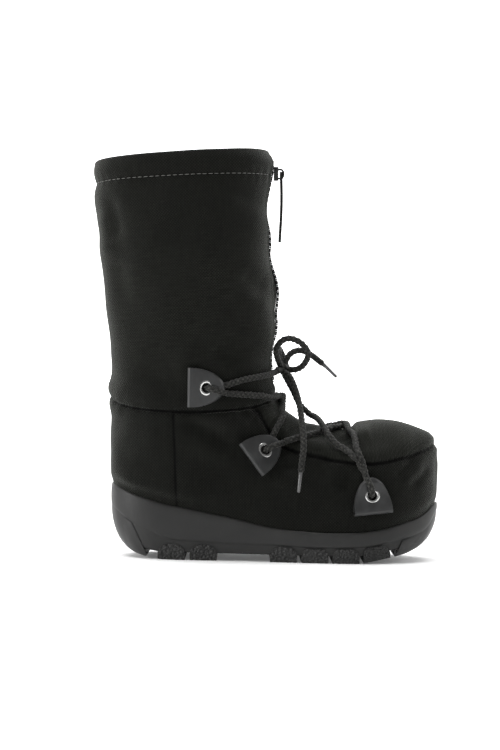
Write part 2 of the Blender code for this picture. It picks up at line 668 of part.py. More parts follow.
def plate(name, outlines, thickness, look):
    """A flat plate from closed outlines in its own XY plane, its middle on z = 0, as a mesh object."""
    curve = bpy.data.curves.new(name, "CURVE")
    curve.dimensions = "2D"
    curve.fill_mode = "BOTH"
    curve.extrude = thickness / 2
    for outline in outlines:
        spline = curve.splines.new("POLY")
        spline.points.add(len(outline) - 1)
        for point, (x, y) in zip(spline.points, outline):
            point.co = (x, y, 0, 1)
        spline.use_cyclic_u = True
    curve.materials.append(look)
    made = bpy.data.objects.new(name, curve)
    BOOT.objects.link(made)
    return made


def turned(name, profile, look, steps=16):
    """A profile of (radius, height) points, outer side first from top to bottom, turned round its own Z axis."""
    mesh = bpy.data.meshes.new(name)
    mesh.from_pydata([(r, 0, z) for r, z in profile], [(k, (k + 1) % len(profile)) for k in range(len(profile))], [])
    mesh.materials.append(look)
    made = bpy.data.objects.new(name, mesh)
    BOOT.objects.link(made)
    screw = made.modifiers.new("Turn", "SCREW")
    screw.steps = screw.render_steps = steps
    screw.use_merge_vertices = True
    screw.merge_threshold = 0.00001
    return made


# Lace tabs and eyelets
def tab_half(u):
    """Half width of the tab at this distance from its fold."""
    return TAB_WIDTH / 2 * max(0.0, 1 - (u / TAB_LENGTH) ** 2.2) ** 0.5


def tab_outline():
    """The tab in its plane: fold on u = 0, round tip at u = TAB_LENGTH."""
    edge = []
    for k in range(9):
        u = TAB_LENGTH * math.sin(math.radians(90 * k / 8))
        edge.append((u, tab_half(u)))
    edge[0] = (TAB_LENGTH * 0.05, TAB_WIDTH / 2)
    upper_side = [(0.0, TAB_WIDTH / 2 * 0.96)] + edge
    return upper_side + [(u, -v) for u, v in reversed(upper_side[:-1])]


def seat(x, z, side, angle, lean):
    """Axes and place of a tab whose eyelet centre is seen at (x, z) on the given side."""
    start = Vector((x, side * 0.2, z))
    hit = SKIN.ray_cast(start, Vector((0, -side, 0)))[0]
    normal = off_skin(hit, 0.0)[1]
    run = Vector((math.cos(angle), 0, math.sin(angle)))
    run = (run - normal * run.dot(normal)).normalized()
    turn = run.cross(normal).normalized()
    tilt = Matrix.Rotation(lean if turn.cross(run).dot(normal) < 0 else -lean, 3, turn)
    run, normal = tilt @ run, tilt @ normal
    if (tilt @ run).dot(normal) > 2:
        run = -run
    across = normal.cross(run)
    clear = 1.0
    for u in np.linspace(0, TAB_LENGTH, 13):
        for v in np.linspace(-1, 1, 13) * tab_half(u):
            point = hit + run * (u - EYELET_SETBACK) + across * v
            found = SKIN.ray_cast(point + normal * 0.03, -normal)[0]
            if found is not None:
                clear = min(clear, (point - found).dot(normal))
    place = hit + normal * (GAP - clear + TAB_THICK / 2)
    frame = Matrix((run, across, normal)).transposed().to_4x4()
    frame.translation = place
    return frame


def tabs():
    hole_radius = EYELET_BARREL / 2 + GAP
    hole = [(hole_radius * math.cos(a) + EYELET_SETBACK, hole_radius * math.sin(a))
            for a in np.radians(np.arange(0, 360, 20))]
    made = []
    for name, share_x, share_z, degrees in TABS:
        for word, side in (("outer", -1), ("inner", 1)):
            frame = seat(along(share_x), share_z * ANKLE_HEIGHT, side, math.radians(degrees), math.radians(TAB_LEAN))
            tab = plate(f"tab_{name}_{word}", [tab_outline(), hole], TAB_THICK, LEATHER)
            tab.matrix_world = frame @ Matrix.Translation((-EYELET_SETBACK, 0, 0))
            tab = as_mesh(tab)
            r, w, face = EYELET_BARREL / 2, EYELET_BARREL / 2 - EYELET_HOLE / 2, TAB_THICK / 2
            eyelet = turned(f"eyelet_{name}_{word}", [
                (EYELET_FLANGE / 2, face + GAP + 0.5 * w), (EYELET_FLANGE / 2, face + GAP), (r, face + GAP),
                (r, -face), (r - w, -face), (r - w, face + GAP + 1.1 * w),
                (r + 0.4 * w, face + GAP + 1.4 * w)], NICKEL)
            eyelet.matrix_world = frame
            made.append((tab, eyelet, frame))
    return made


# Zip
def strip(name, half_width, low, high, look, first=1, last=None):
    """A band down the middle of the placket, from low to high off the skin."""
    front = SIDE_COLUMNS + 2
    last = last or len(SHAFT_RINGS)
    points, faces = [], []
    for row in range(first, last):
        middle, edge = GRID[row, front], GRID[row, front - 1]
        share = half_width / abs(edge[1])
        normal = GRID_NORMAL[row, front]
        side = middle + (edge - middle) * min(1, share)
        for height in (low, high):
            points.append((side + normal * height) * (1, -1, 1))
            points.append(middle + normal * height)
            points.append(side + normal * height)
    for k in range(last - first - 1):
        a, b = 6 * k, 6 * (k + 1)
        loop = (0, 1, 2, 5, 4, 3)
        for i in range(6):
            p, q = loop[i], loop[(i + 1) % 6]
            faces.append((a + p, a + q, b + q, b + p))
    end = 6 * (last - first - 1)
    faces += [(0, 1, 4, 3), (1, 2, 5, 4), (end, end + 1, end + 4, end + 3), (end + 1, end + 2, end + 5, end + 4)]
    return mesh_object(name, points, faces, look)


def box(name, low, high, look):
    low, high = Vector(low), Vector(high)
    bpy.ops.mesh.primitive_cube_add(size=1, location=(low + high) / 2)
    made = bpy.context.object
    made.name = made.data.name = name
    made.scale = high - low
    bpy.ops.object.transform_apply(location=False, scale=True)
    for holder in list(made.users_collection):
        holder.objects.unlink(made)
    BOOT.objects.link(made)
    if look:
        made.data.materials.append(look)
    return made


def rod_y(name, x, z, radius, length, look):
    bpy.ops.mesh.primitive_cylinder_add(vertices=20, radius=radius, depth=length, location=(x, 0, z),
                                        rotation=(math.pi / 2, 0, 0))
    made = bpy.context.object
    made.name = made.data.name = name
    for holder in list(made.users_collection):
        holder.objects.unlink(made)
    BOOT.objects.link(made)
    if look:
        made.data.materials.append(look)
    return made


def zip_pieces():
    tape_half = PLACKET_WIDTH / 2 - PLACKET_DEPTH - 2 * GAP
    strip("zip_tape", tape_half, GAP, GAP + TAPE_THICK, TAPE)
    low = 2 * GAP + TAPE_THICK
    strip("zip_teeth", CHAIN_WIDTH / 2, low, low + CHAIN_THICK, TEETH)
    front = SIDE_COLUMNS + 2
    height = ANKLE_HEIGHT + SLIDER_SHARE * (SHAFT_HEIGHT - ANKLE_HEIGHT)
    above = max(GRID[k, front][0] for k in (1, 2, 3))
    face = above + low + CHAIN_THICK + GAP
    half = SLIDER_WIDTH / 2
    slider = box("zip_slider", (face, -half, height - SLIDER_HEIGHT / 2),
                 (face + SLIDER_THICK, half, height + SLIDER_HEIGHT / 2), ENAMEL)
    eye_x = face + SLIDER_THICK + EYE_REACH
    lug = box("slider_lug", (face + 0.5 * SLIDER_THICK, -LUG_THICK / 2, height - 0.30 * SLIDER_HEIGHT),
              (eye_x + PIN_RADIUS + 0.0012, LUG_THICK / 2, height + 0.30 * SLIDER_HEIGHT), ENAMEL)
    boolean(slider, lug, "UNION")
    boolean(slider, rod_y("eye_hole", eye_x, height, PIN_RADIUS + GAP, 4 * LUG_THICK, None), "DIFFERENCE")
    pivot = bpy.data.objects.new("pull_pivot", None)
    pivot.location = (eye_x, 0, height)
    BOOT.objects.link(pivot)
    inner, outer = LUG_THICK / 2 + GAP, PULL_WIDTH / 2
    pull = rod_y("zip_pull", eye_x, height, PIN_RADIUS, 2 * outer - 0.0002, ENAMEL)
    reach = PIN_RADIUS + 0.0009
    for side in (-1, 1):
        ear = box(f"ear_{side}", (eye_x - reach, min(side * inner, side * outer), height - PULL_NECK),
                  (eye_x + reach, max(side * inner, side * outer), height + reach), None)
        boolean(pull, ear, "UNION")
    blade = box("pull_blade", (eye_x - PULL_THICK / 2, -outer, height - PULL_LENGTH),
                (eye_x + PULL_THICK / 2, outer, height - PULL_NECK + 0.0008), None)
    boolean(pull, blade, "UNION")
    pull.parent = pivot
    pull.matrix_parent_inverse = Matrix.Translation((-eye_x, 0, -height))
    return eye_x, height


# Lace
def place_of(point, side=-1):
    """A route point (share along the sole, of the ball width to the side, of the ankle height) in metres."""
    return Vector((along(point[0]), side * point[1] * BALL_WIDTH, point[2] * ANKLE_HEIGHT))


def smooth_run(points, step):
    """Points about this far apart on a smooth curve through the given ones."""
    points = [Vector(p) for p in points]
    fine = []
    for k in range(len(points) - 1):
        p1, p2 = points[k], points[k + 1]
        p0 = points[k - 1] if k else p1 * 2 - p2
        p3 = points[k + 2] if k + 2 < len(points) else p2 * 2 - p1
        for n in range(12):
            t = n / 12
            fine.append(0.5 * (2 * p1 + (p2 - p0) * t + (2 * p0 - 5 * p1 + 4 * p2 - p3) * t * t
                               + (3 * p1 - p0 - 3 * p2 + p3) * t**3))
    fine.append(points[-1])
    run = np.concatenate([[0], np.cumsum([(b - a).length for a, b in zip(fine, fine[1:])])])
    want = np.linspace(0, run[-1], max(2, round(run[-1] / step)) + 1)
    fine = np.array([p[:] for p in fine])
    return [Vector([np.interp(w, run, fine[:, d]) for d in range(3)]) for w in want]


def tube(name, points, radius, look, sides=2):
    curve = bpy.data.curves.new(name, "CURVE")
    curve.dimensions = "3D"
    curve.bevel_depth = radius
    curve.bevel_resolution = sides
    curve.use_fill_caps = True
    spline = curve.splines.new("POLY")
    spline.points.add(len(points) - 1)
    for point, at in zip(spline.points, points):
        point.co = (*at, 1)
    curve.materials.append(look)
    made = bpy.data.objects.new(name, curve)
    BOOT.objects.link(made)
    return made


def on_boot(points, lift=0.0):
    """A smooth run of points that keeps the lace just off the fabric, and off the zip where it crosses that."""
    zip_stack = 3 * GAP + TAPE_THICK + CHAIN_THICK
    out = []
    for p in smooth_run(points, 2.2 * LACE):
        over = min(1.0, max(0.0, (0.64 * PLACKET_WIDTH - abs(p.y)) / (0.32 * PLACKET_WIDTH)))
        over *= p.z > 1.03 * ANKLE_HEIGHT
        out.append(off_skin(p, LACE / 2 + LACE_CLEAR + lift + zip_stack * over)[0])
    return out


def joined_lace(name, runs):
    """One solid from several runs of lace that touch where they cross."""
    first = None
    for k, run in enumerate(runs):
        piece = as_mesh(tube(f"{name}_{k}" if k else name, run, LACE / 2, LACE_LOOK))
        if first is None:
            first = piece
        else:
            boolean(first, piece, "UNION", "MANIFOLD")
    return first


def trimmed(points, start, end):
    """The run without this much of its length at each end."""
    run = np.concatenate([[0], np.cumsum([(b - a).length for a, b in zip(points, points[1:])])])
    flat = np.array([p[:] for p in points])
    want = np.linspace(start, run[-1] - end, max(3, round((run[-1] - start - end) / (2.4 * LACE)) + 1))
    return [Vector([np.interp(w, run, flat[:, d]) for d in range(3)]) for w in want]


def at_knot(point):
    """Where a lace that comes from this point ends, just off the knot."""
    centre = place_of(KNOT_AT)
    return centre + (point - centre).normalized() * (KNOT / 2 + GAP)


def laces():
    lower = [place_of(p) for p in LOWER_TO_CREST]
    middle = [place_of(p) for p in MIDDLE_TO_CREST]
    flip = lambda run: [Vector((p.x, -p.y, p.z)) for p in run]
    centre_low = [place_of(CREST_CROSSING)]
    crossing_a = trimmed(on_boot(lower + centre_low + flip(middle[::-1])), LACE_STOP, LACE_STOP)
    crossing_b = trimmed(on_boot(flip(lower) + centre_low + middle[::-1]), LACE_STOP, LACE_STOP)
    joined_lace("lace_vamp_cross", [crossing_a, crossing_b])
    rise = [place_of(p) for p in LOWER_TO_RISE]
    bar = trimmed(on_boot(rise, LACE * LACE_STACK), LACE_STOP, 0.0)
    joined_lace("lace_vamp_bar", [bar])
    shaft = [place_of(p) for p in UPPER_TO_THROAT]
    ankle = [place_of(p) for p in MIDDLE_TO_THROAT]
    centre_high = [place_of(THROAT_CROSSING)]
    cross_a = trimmed(on_boot(shaft + centre_high + flip(ankle[::-1])), LACE_STOP, LACE_STOP)
    cross_b = trimmed(on_boot(flip(shaft) + centre_high + ankle[::-1]), LACE_STOP, LACE_STOP)
    joined_lace("lace_throat_cross", [cross_a, cross_b])
    high = trimmed(on_boot([place_of(p) for p in UPPER_TO_KNOT]), LACE_STOP, 0.0)
    high[-1] = at_knot(high[-2])
    joined_lace("lace_ankle_outer", [high])
    joined_lace("lace_ankle_inner", [flip(high)])
    bpy.ops.mesh.primitive_uv_sphere_add(segments=14, ring_count=8, radius=KNOT / 2, location=place_of(KNOT_AT))
    knot = bpy.context.object
    knot.name = knot.data.name = "lace_knot"
    for holder in list(knot.users_collection):
        holder.objects.unlink(knot)
    BOOT.objects.link(knot)
    knot.data.materials.append(LACE_LOOK)
    for name, ends, route in FREE_LACE:
        run = [place_of(p) for p in route]
        if "knot first" in ends:
            run[0] = at_knot(run[1])
        if "knot last" in ends:
            run[-1] = at_knot(run[-2])
        if "bar first" in ends:
            run[0] = bar[-1] + (run[1] - bar[-1]).normalized() * 0.48 * LACE
        tube(name, smooth_run(run, 2.6 * LACE), LACE / 2, LACE_LOOK)
        if "aglet last" in ends:
            heading = (run[-1] - run[-2]).normalized()
            tip = run[-1] + heading * GAP
            drop = Vector((0, 0, -AGLET_DROOP * AGLET_LENGTH))
            tube(name.replace("lace_end", "aglet"),
                 [tip, tip + heading * 0.5 * AGLET_LENGTH + drop * 0.2, tip + heading * AGLET_LENGTH + drop],
                 AGLET / 2, PLASTIC)


sole()
insole()
upper()
tabs()
zip_pieces()
laces()
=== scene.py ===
"""Dresses the snow boot: fine fabric upper with its folds and seams, rubber sole, tabs, zip and braided lace."""

import json
import math

import bmesh
import bpy
import numpy as np
from mathutils import Matrix, Vector
from mathutils.bvhtree import BVHTree


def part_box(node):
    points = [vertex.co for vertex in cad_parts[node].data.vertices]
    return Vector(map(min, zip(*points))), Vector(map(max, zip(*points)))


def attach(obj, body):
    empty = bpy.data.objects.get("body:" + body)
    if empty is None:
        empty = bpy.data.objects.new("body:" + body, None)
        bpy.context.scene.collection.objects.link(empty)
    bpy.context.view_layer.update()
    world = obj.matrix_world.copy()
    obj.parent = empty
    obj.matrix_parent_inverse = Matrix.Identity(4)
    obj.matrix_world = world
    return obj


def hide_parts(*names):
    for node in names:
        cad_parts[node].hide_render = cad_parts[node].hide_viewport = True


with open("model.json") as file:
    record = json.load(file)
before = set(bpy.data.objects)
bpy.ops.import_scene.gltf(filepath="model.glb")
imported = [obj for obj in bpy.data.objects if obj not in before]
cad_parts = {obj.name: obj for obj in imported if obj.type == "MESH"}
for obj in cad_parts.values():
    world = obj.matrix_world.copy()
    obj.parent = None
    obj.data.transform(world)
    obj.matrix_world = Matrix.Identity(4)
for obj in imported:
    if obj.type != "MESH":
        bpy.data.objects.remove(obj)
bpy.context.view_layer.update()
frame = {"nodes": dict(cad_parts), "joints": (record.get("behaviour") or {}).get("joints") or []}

bl_info = {
    "name": "Snow boot dressing",
    "version": (1, 0, 0),
    "blender": (4, 5, 0),
    "location": "View3D > Sidebar > Snow Boot",
    "description": "Builds the visible surfaces of a tall snow boot round its solid model",
    "category": "Add Mesh",
}

# Plan of the sole, from back to toe: along is a share of the sole length, the rest of the ball width
OUTLINE = (
    (0.000, 0.000, 0.000), (0.008, 0.115, 0.115), (0.026, 0.205, 0.205), (0.064, 0.297, 0.297),
    (0.115, 0.354, 0.354), (0.183, 0.384, 0.382), (0.287, 0.402, 0.380), (0.390, 0.420, 0.362),
    (0.493, 0.452, 0.380), (0.580, 0.480, 0.432), (0.665, 0.498, 0.489), (0.742, 0.493, 0.511),
    (0.820, 0.451, 0.503), (0.882, 0.382, 0.462), (0.934, 0.280, 0.383), (0.971, 0.165, 0.275),
    (0.992, 0.055, 0.168), (1.000, -0.056, 0.056),
)
# Heights along the sole, shares of the rand height: rand, groove, floor, under
LEVELS = (
    (0.000, 1.000, 0.710, 0.480, 0.040), (0.070, 0.872, 0.490, 0.470, 0.040), (0.126, 0.800, 0.385, 0.455, 0.022),
    (0.171, 0.745, 0.290, 0.440, 0.000), (0.210, 0.715, 0.256, 0.425, 0.000), (0.300, 0.640, 0.237, 0.385, 0.000),
    (0.400, 0.550, 0.222, 0.335, 0.000), (0.500, 0.455, 0.220, 0.300, 0.000), (0.575, 0.425, 0.203, 0.282, 0.000),
    (0.660, 0.406, 0.197, 0.275, 0.000), (0.740, 0.414, 0.210, 0.280, 0.000), (0.780, 0.432, 0.225, 0.290, 0.022),
    (0.840, 0.480, 0.275, 0.310, 0.076), (0.900, 0.560, 0.345, 0.345, 0.120), (0.925, 0.590, 0.380, 0.362, 0.145),
    (0.965, 0.685, 0.470, 0.430, 0.165), (0.985, 0.760, 0.600, 0.490, 0.180), (1.000, 0.800, 0.700, 0.530, 0.190),
)
LUGS = (0.191, 0.287, 0.528, 0.621, 0.714, 0.807)
# Rings of the shaft: back x, back z, front x, front z, half width, dip
SHAFT_RINGS = (
    (-0.494, 0.940, 0.505, 1.000, 0.492, 0.000), (-0.499, 0.902, 0.532, 0.958, 0.504, 0.000),
    (-0.486, 0.857, 0.526, 0.903, 0.493, 0.000), (-0.491, 0.812, 0.516, 0.845, 0.502, 0.000),
    (-0.476, 0.741, 0.503, 0.759, 0.500, 0.000), (-0.447, 0.655, 0.520, 0.676, 0.491, 0.000),
    (-0.447, 0.583, 0.525, 0.593, 0.496, 0.000), (-0.436, 0.491, 0.541, 0.495, 0.491, 0.000),
    (-0.419, 0.361, 0.553, 0.380, 0.482, 0.000), (-0.400, 0.260, 0.560, 0.278, 0.474, 0.007),
    (-0.387, 0.167, 0.546, 0.167, 0.465, 0.021), (-0.374, 0.083, 0.562, 0.083, 0.460, 0.049),
    (-0.379, 0.028, 0.566, 0.037, 0.465, 0.083),
)
# Rings of the foot: low x, low z, high x, high z, outer, inner, dip, widest, square low, square high
FOOT_RINGS = (
    (-0.006, 0.986, 0.494, 1.004, 0.486, 0.486, 0.097, 0.50, 2.25, 2.25),
    (-0.006, 0.938, 0.499, 0.983, 0.497, 0.497, 0.090, 0.50, 2.25, 2.25),
    (0.000, 0.854, 0.508, 0.958, 0.496, 0.494, 0.069, 0.50, 2.30, 2.25),
    (0.000, 0.771, 0.519, 0.932, 0.492, 0.488, 0.042, 0.50, 2.30, 2.25),
    (-0.004, 0.674, 0.530, 0.917, 0.484, 0.478, 0.021, 0.50, 2.35, 2.25),
    (-0.007, 0.576, 0.542, 0.903, 0.476, 0.468, 0.000, 0.50, 2.40, 2.25),
    (-0.005, 0.470, 0.552, 0.891, 0.468, 0.460, 0.000, 0.50, 2.45, 2.25),
    (0.000, 0.330, 0.564, 0.879, 0.462, 0.452, 0.000, 0.49, 2.50, 2.25),
    (0.000, 0.130, 0.578, 0.868, 0.460, 0.448, 0.000, 0.50, 2.60, 2.25),
    (0.012, -0.110, 0.592, 0.861, 0.460, 0.446, 0.000, 0.52, 2.80, 2.25),
    (0.080, -0.220, 0.609, 0.854, 0.462, 0.444, 0.000, 0.55, 3.00, 2.25),
    (0.240, -0.240, 0.633, 0.844, 0.466, 0.446, 0.000, 0.57, 3.00, 2.25),
    (0.400, -0.240, 0.664, 0.835, 0.474, 0.452, 0.000, 0.58, 3.00, 2.25),
    (0.530, -0.240, 0.697, 0.829, 0.484, 0.466, 0.000, 0.59, 3.00, 2.25),
    (0.625, -0.230, 0.726, 0.824, 0.491, 0.482, 0.000, 0.60, 3.00, 2.25),
    (0.699, -0.220, 0.756, 0.846, 0.494, 0.496, 0.000, 0.60, 3.00, 2.30),
    (0.761, -0.210, 0.794, 0.862, 0.481, 0.503, 0.000, 0.60, 3.00, 2.30),
    (0.816, -0.200, 0.833, 0.865, 0.454, 0.494, 0.000, 0.60, 3.00, 2.30),
    (0.864, -0.180, 0.873, 0.856, 0.412, 0.468, 0.000, 0.60, 3.00, 2.30),
    (0.905, -0.150, 0.916, 0.828, 0.350, 0.422, 0.000, 0.60, 3.00, 2.30),
    (0.940, -0.100, 0.959, 0.783, 0.270, 0.355, 0.000, 0.60, 2.90, 2.30),
    (0.967, -0.050, 0.984, 0.736, 0.182, 0.270, 0.000, 0.60, 2.80, 2.30),
    (0.985, 0.050, 0.995, 0.684, 0.092, 0.172, 0.000, 0.58, 2.60, 2.30),
    (0.994, 0.200, 0.999, 0.600, 0.030, 0.078, 0.000, 0.56, 2.30, 2.30),
)
# Side views of the seams, in millimetres of x and z
VAMP_SEAM = ((70, 137), (77, 129), (82, 119.5), (87, 111.5), (92, 105.5), (98, 100.5), (110, 95.5), (124, 92),
             (142, 88.5), (161, 86.8), (175, 86.5), (189, 88.2), (211, 93.5), (225, 98.5), (234, 103.5), (245, 106))
HEEL_SEAM = ((2.3, 131), (3.7, 105), (4.8, 83), (6.5, 52), (7.5, 20))

# Folds and swellings of the cloth: side (-1 outer, 1 inner, 0 both), depth in mm (a ridge is positive),
# half width in mm, and the run in millimetres of x and z
FOLDS = (
    (-1, -2.3, 8.0, ((10, 124), (32, 113), (56, 98))),
    (-1, 1.2, 9.0, ((18, 103), (40, 95), (58, 88))),
    (-1, 1.0, 7.0, ((44, 122), (60, 119), (70, 117))),
    (-1, -1.6, 6.0, ((97, 85), (108, 82), (118, 81))),
    (-1, 1.0, 10.0, ((74, 62), (96, 70), (124, 74))),
    (-1, -2.0, 8.0, ((150, 62), (154, 70), (156, 80))),
    (-1, 0.9, 8.0, ((134, 66), (142, 76), (146, 84))),
    (-1, -1.1, 4.0, ((196, 76), (206, 84), (214, 92))),
    (-1, 0.8, 4.0, ((203, 72), (213, 80), (221, 88))),
    (-1, -0.9, 3.5, ((209, 66), (219, 74), (228, 84))),
    (0, -2.3, 8.0, ((138, 116), (146, 109), (153, 100))),
    (0, 1.9, 9.0, ((112, 103), (127, 100), (143, 97))),
    (0, 2.0, 8.0, ((160, 113), (168, 112), (176, 113))),
    (0, -1.5, 6.0, ((154, 116), (157, 108), (161, 100))),
    (0, 0.9, 10.0, ((190, 112), (202, 108), (212, 104))),
    (0, -1.9, 12.0, ((108, 126), (124, 123), (140, 121), (152, 119), (166, 121))),
    (-1, -2.2, 10.0, ((34, 186), (46, 178), (56, 166))),
    (-1, 1.0, 12.0, ((4, 190), (12, 176), (16, 160))),
    (0, -1.5, 7.0, ((-58, 318), (-53, 296), (-50, 276))),
    (0, 1.7, 8.0, ((-62, 305), (-60, 282), (-54, 262))),
    (0, -1.3, 9.0, ((-50, 262), (-46, 240), (-42, 220))),
    (-1, -1.0, 8.0, ((30, 330), (48, 322), (70, 318))),
    (-1, 0.9, 9.0, ((40, 312), (60, 305), (80, 300))),
    (0, -1.1, 8.0, ((60, 250), (72, 244), (84, 240))),
    (0, 1.1, 8.0, ((56, 232), (70, 226), (86, 222))),
    (0, -1.0, 9.0, ((-30, 168), (-10, 158), (14, 152))),
    (0, 1.2, 9.0, ((-52, 152), (-30, 146), (-4, 140))),
    (0, 1.1, 12.0, ((-44, 118), (-24, 112), (-6, 108))),
    (0, -0.9, 9.0, ((-52, 92), (-30, 86), (-8, 84))),
    (1, -1.9, 9.0, ((14, 120), (36, 108), (56, 98))),
    (1, 1.1, 9.0, ((26, 96), (44, 90), (60, 84))),
    (1, -1.6, 9.0, ((148, 62), (152, 70), (153, 80))),
    (1, -1.8, 10.0, ((36, 188), (48, 178), (58, 168))),
    (1, 1.1, 12.0, ((-10, 262), (10, 252), (30, 250))),
    (1, -1.0, 10.0, ((-16, 236), (8, 228), (34, 228))),
)

# Lace tabs: name, degrees up from the toe in side view, whether its tip is lifted by the lace under it
TABS = (("upper", 0.0, 1.0), ("middle", 37.0, 0.6), ("lower", 96.0, 0.8))

# Lace routes: share along the sole, of the ball width out from the middle, of the ankle height
LOWER_TO_CREST = ((0.771, 0.500, 0.500), (0.759, 0.480, 0.590), (0.746, 0.440, 0.660), (0.734, 0.360, 0.730),
                  (0.718, 0.180, 0.800))
MIDDLE_TO_CREST = ((0.506, 0.410, 0.705), (0.565, 0.350, 0.750), (0.613, 0.290, 0.780), (0.660, 0.170, 0.815))
CREST_CROSSING = (0.706, 0.000, 0.840)
LOWER_TO_RISE = ((0.765, 0.490, 0.540), (0.742, 0.450, 0.615), (0.712, 0.410, 0.680), (0.680, 0.330, 0.725),
                 (0.650, 0.240, 0.770), (0.622, 0.110, 0.815), (0.600, 0.020, 0.845))
UPPER_TO_THROAT = ((0.335, 0.480, 1.014), (0.400, 0.410, 1.004), (0.465, 0.260, 0.997))
MIDDLE_TO_THROAT = ((0.487, 0.400, 0.750), (0.504, 0.290, 0.840), (0.514, 0.130, 0.920))
THROAT_CROSSING = (0.510, 0.000, 0.990)
UPPER_TO_KNOT = ((0.345, 0.480, 1.060), (0.400, 0.410, 1.097), (0.463, 0.260, 1.125), (0.490, 0.120, 1.145),
                 (0.500, 0.065, 1.160))
KNOT_AT = (0.515, 0.000, 1.164)
LACE_RISE = ((0.588, 0.010, 0.880), (0.572, 0.010, 0.950), (0.552, 0.015, 1.030), (0.534, 0.010, 1.105))
BOW_OUTER = ((0.510, 0.050, 1.205), (0.500, 0.110, 1.240), (0.497, 0.160, 1.290), (0.515, 0.190, 1.340),
             (0.542, 0.200, 1.352), (0.575, 0.200, 1.320), (0.594, 0.180, 1.262), (0.583, 0.140, 1.200),
             (0.560, 0.080, 1.165), (0.540, 0.040, 1.150))
BOW_INNER = ((0.508, -0.035, 1.235), (0.505, -0.110, 1.272), (0.508, -0.200, 1.290), (0.515, -0.270, 1.270),
             (0.523, -0.270, 1.225), (0.526, -0.200, 1.200), (0.530, -0.110, 1.180), (0.531, -0.055, 1.172))
END_FRONT = ((0.524, -0.010, 1.215), (0.540, -0.050, 1.258), (0.570, -0.080, 1.284), (0.602, -0.100, 1.262),
             (0.644, -0.110, 1.200))
END_OUTER = ((0.527, 0.075, 1.155), (0.539, 0.110, 1.120), (0.553, 0.165, 1.060), (0.565, 0.225, 0.985),
             (0.573, 0.300, 0.900), (0.580, 0.400, 0.800), (0.582, 0.480, 0.700), (0.577, 0.525, 0.600),
             (0.574, 0.535, 0.545))


def length(name, description, default, low=0.0, high=1.0):
    return bpy.props.FloatProperty(name=name, description=description, default=default, min=low, max=high,
                                   precision=5, subtype="DISTANCE", unit="LENGTH")


def colour(name, description, default):
    return bpy.props.FloatVectorProperty(name=name, description=description, default=default, size=3,
                                         min=0.0, max=1.0, subtype="COLOR")


class SnowBootSizes(bpy.types.PropertyGroup):
    """Sizes of the boot's surfaces"""

    sole_length: length("Sole length", "From the back of the heel to the toe", 0.2905)
    heel_back: length("Heel back", "How far the sole reaches behind the origin", 0.0530)
    ball_width: length("Ball width", "Width of the sole at its widest", 0.1065)
    rand_height: length("Rand height", "Height of the sole's edge at the back", 0.0645)
    sole_wall: length("Sole wall", "Thickness of the cup sole's side", 0.0040)
    groove: length("Groove depth", "Depth of the line round the sole", 0.0020)
    ankle_height: length("Ankle height", "Height of the ankle seam", 0.1440)
    shaft_height: length("Shaft height", "Height of the collar's front", 0.3600)
    shaft_depth: length("Shaft depth", "Shaft from back to front", 0.1550)
    shaft_width: length("Shaft width", "Shaft from side to side", 0.1140)
    shaft_axis: length("Shaft axis", "How far the shaft stands in front of the origin", 0.0035)
    wall: length("Upper wall", "Thickness of the fabric with its padding and lining", 0.0030)
    placket_width: length("Placket width", "Width of the channel that holds the zip", 0.0250)
    placket_depth: length("Placket depth", "Depth of the channel that holds the zip", 0.0024)
    seam_depth: length("Seam depth", "How far a seam pulls the fabric in", 0.0013)
    lace: length("Lace thickness", "Diameter of the round lace", 0.0052)
    stitch: length("Hem stitch", "Pitch of the hem's stitches", 0.0052)
    tab_length: length("Tab length", "Lace tab from fold to tip", 0.0290)
    tab_width: length("Tab width", "Lace tab along its fold", 0.0340)
    eyelet: length("Eyelet flange", "Outer diameter of an eyelet", 0.0136)
    eyelet_hole: length("Eyelet hole", "Clear hole of an eyelet", 0.0078)


class SnowBootColours(bpy.types.PropertyGroup):
    """Colours of the boot's materials"""

    fabric: colour("Fabric", "Woven outer fabric", (0.0068, 0.0072, 0.0059))
    lining: colour("Lining", "Pile lining inside", (0.020, 0.020, 0.020))
    rubber: colour("Rubber", "Moulded sole", (0.0186, 0.0186, 0.0181))
    leather: colour("Leather", "Lace tabs", (0.021, 0.0215, 0.0215))
    nickel: colour("Nickel", "Eyelets", (0.62, 0.62, 0.61))
    lace: colour("Lace", "Braided lace", (0.0125, 0.0125, 0.0110))
    thread: colour("Thread", "Stitches of the hem", (0.20, 0.20, 0.185))
    zip: colour("Zip", "Tape and teeth", (0.006, 0.006, 0.006))
    enamel: colour("Enamel", "Slider and pull", (0.006, 0.006, 0.006))
    aglet: colour("Aglet", "Plastic tips of the lace", (0.08, 0.08, 0.08))
    felt: colour("Insole", "Felt of the insole", (0.045, 0.045, 0.044))
    floor: colour("Floor", "Pale floor", (0.86, 0.86, 0.86))


def sizes():
    return bpy.context.scene.snow_boot_sizes


def colours():
    return bpy.context.scene.snow_boot_colours


# Shapes shared by the pieces
def along(share):
    s = sizes()
    return np.asarray(share) * s.sole_length - s.heel_back


def place_of(point, side=-1):
    s = sizes()
    return Vector((float(along(point[0])), side * point[1] * s.ball_width, point[2] * s.ankle_height))


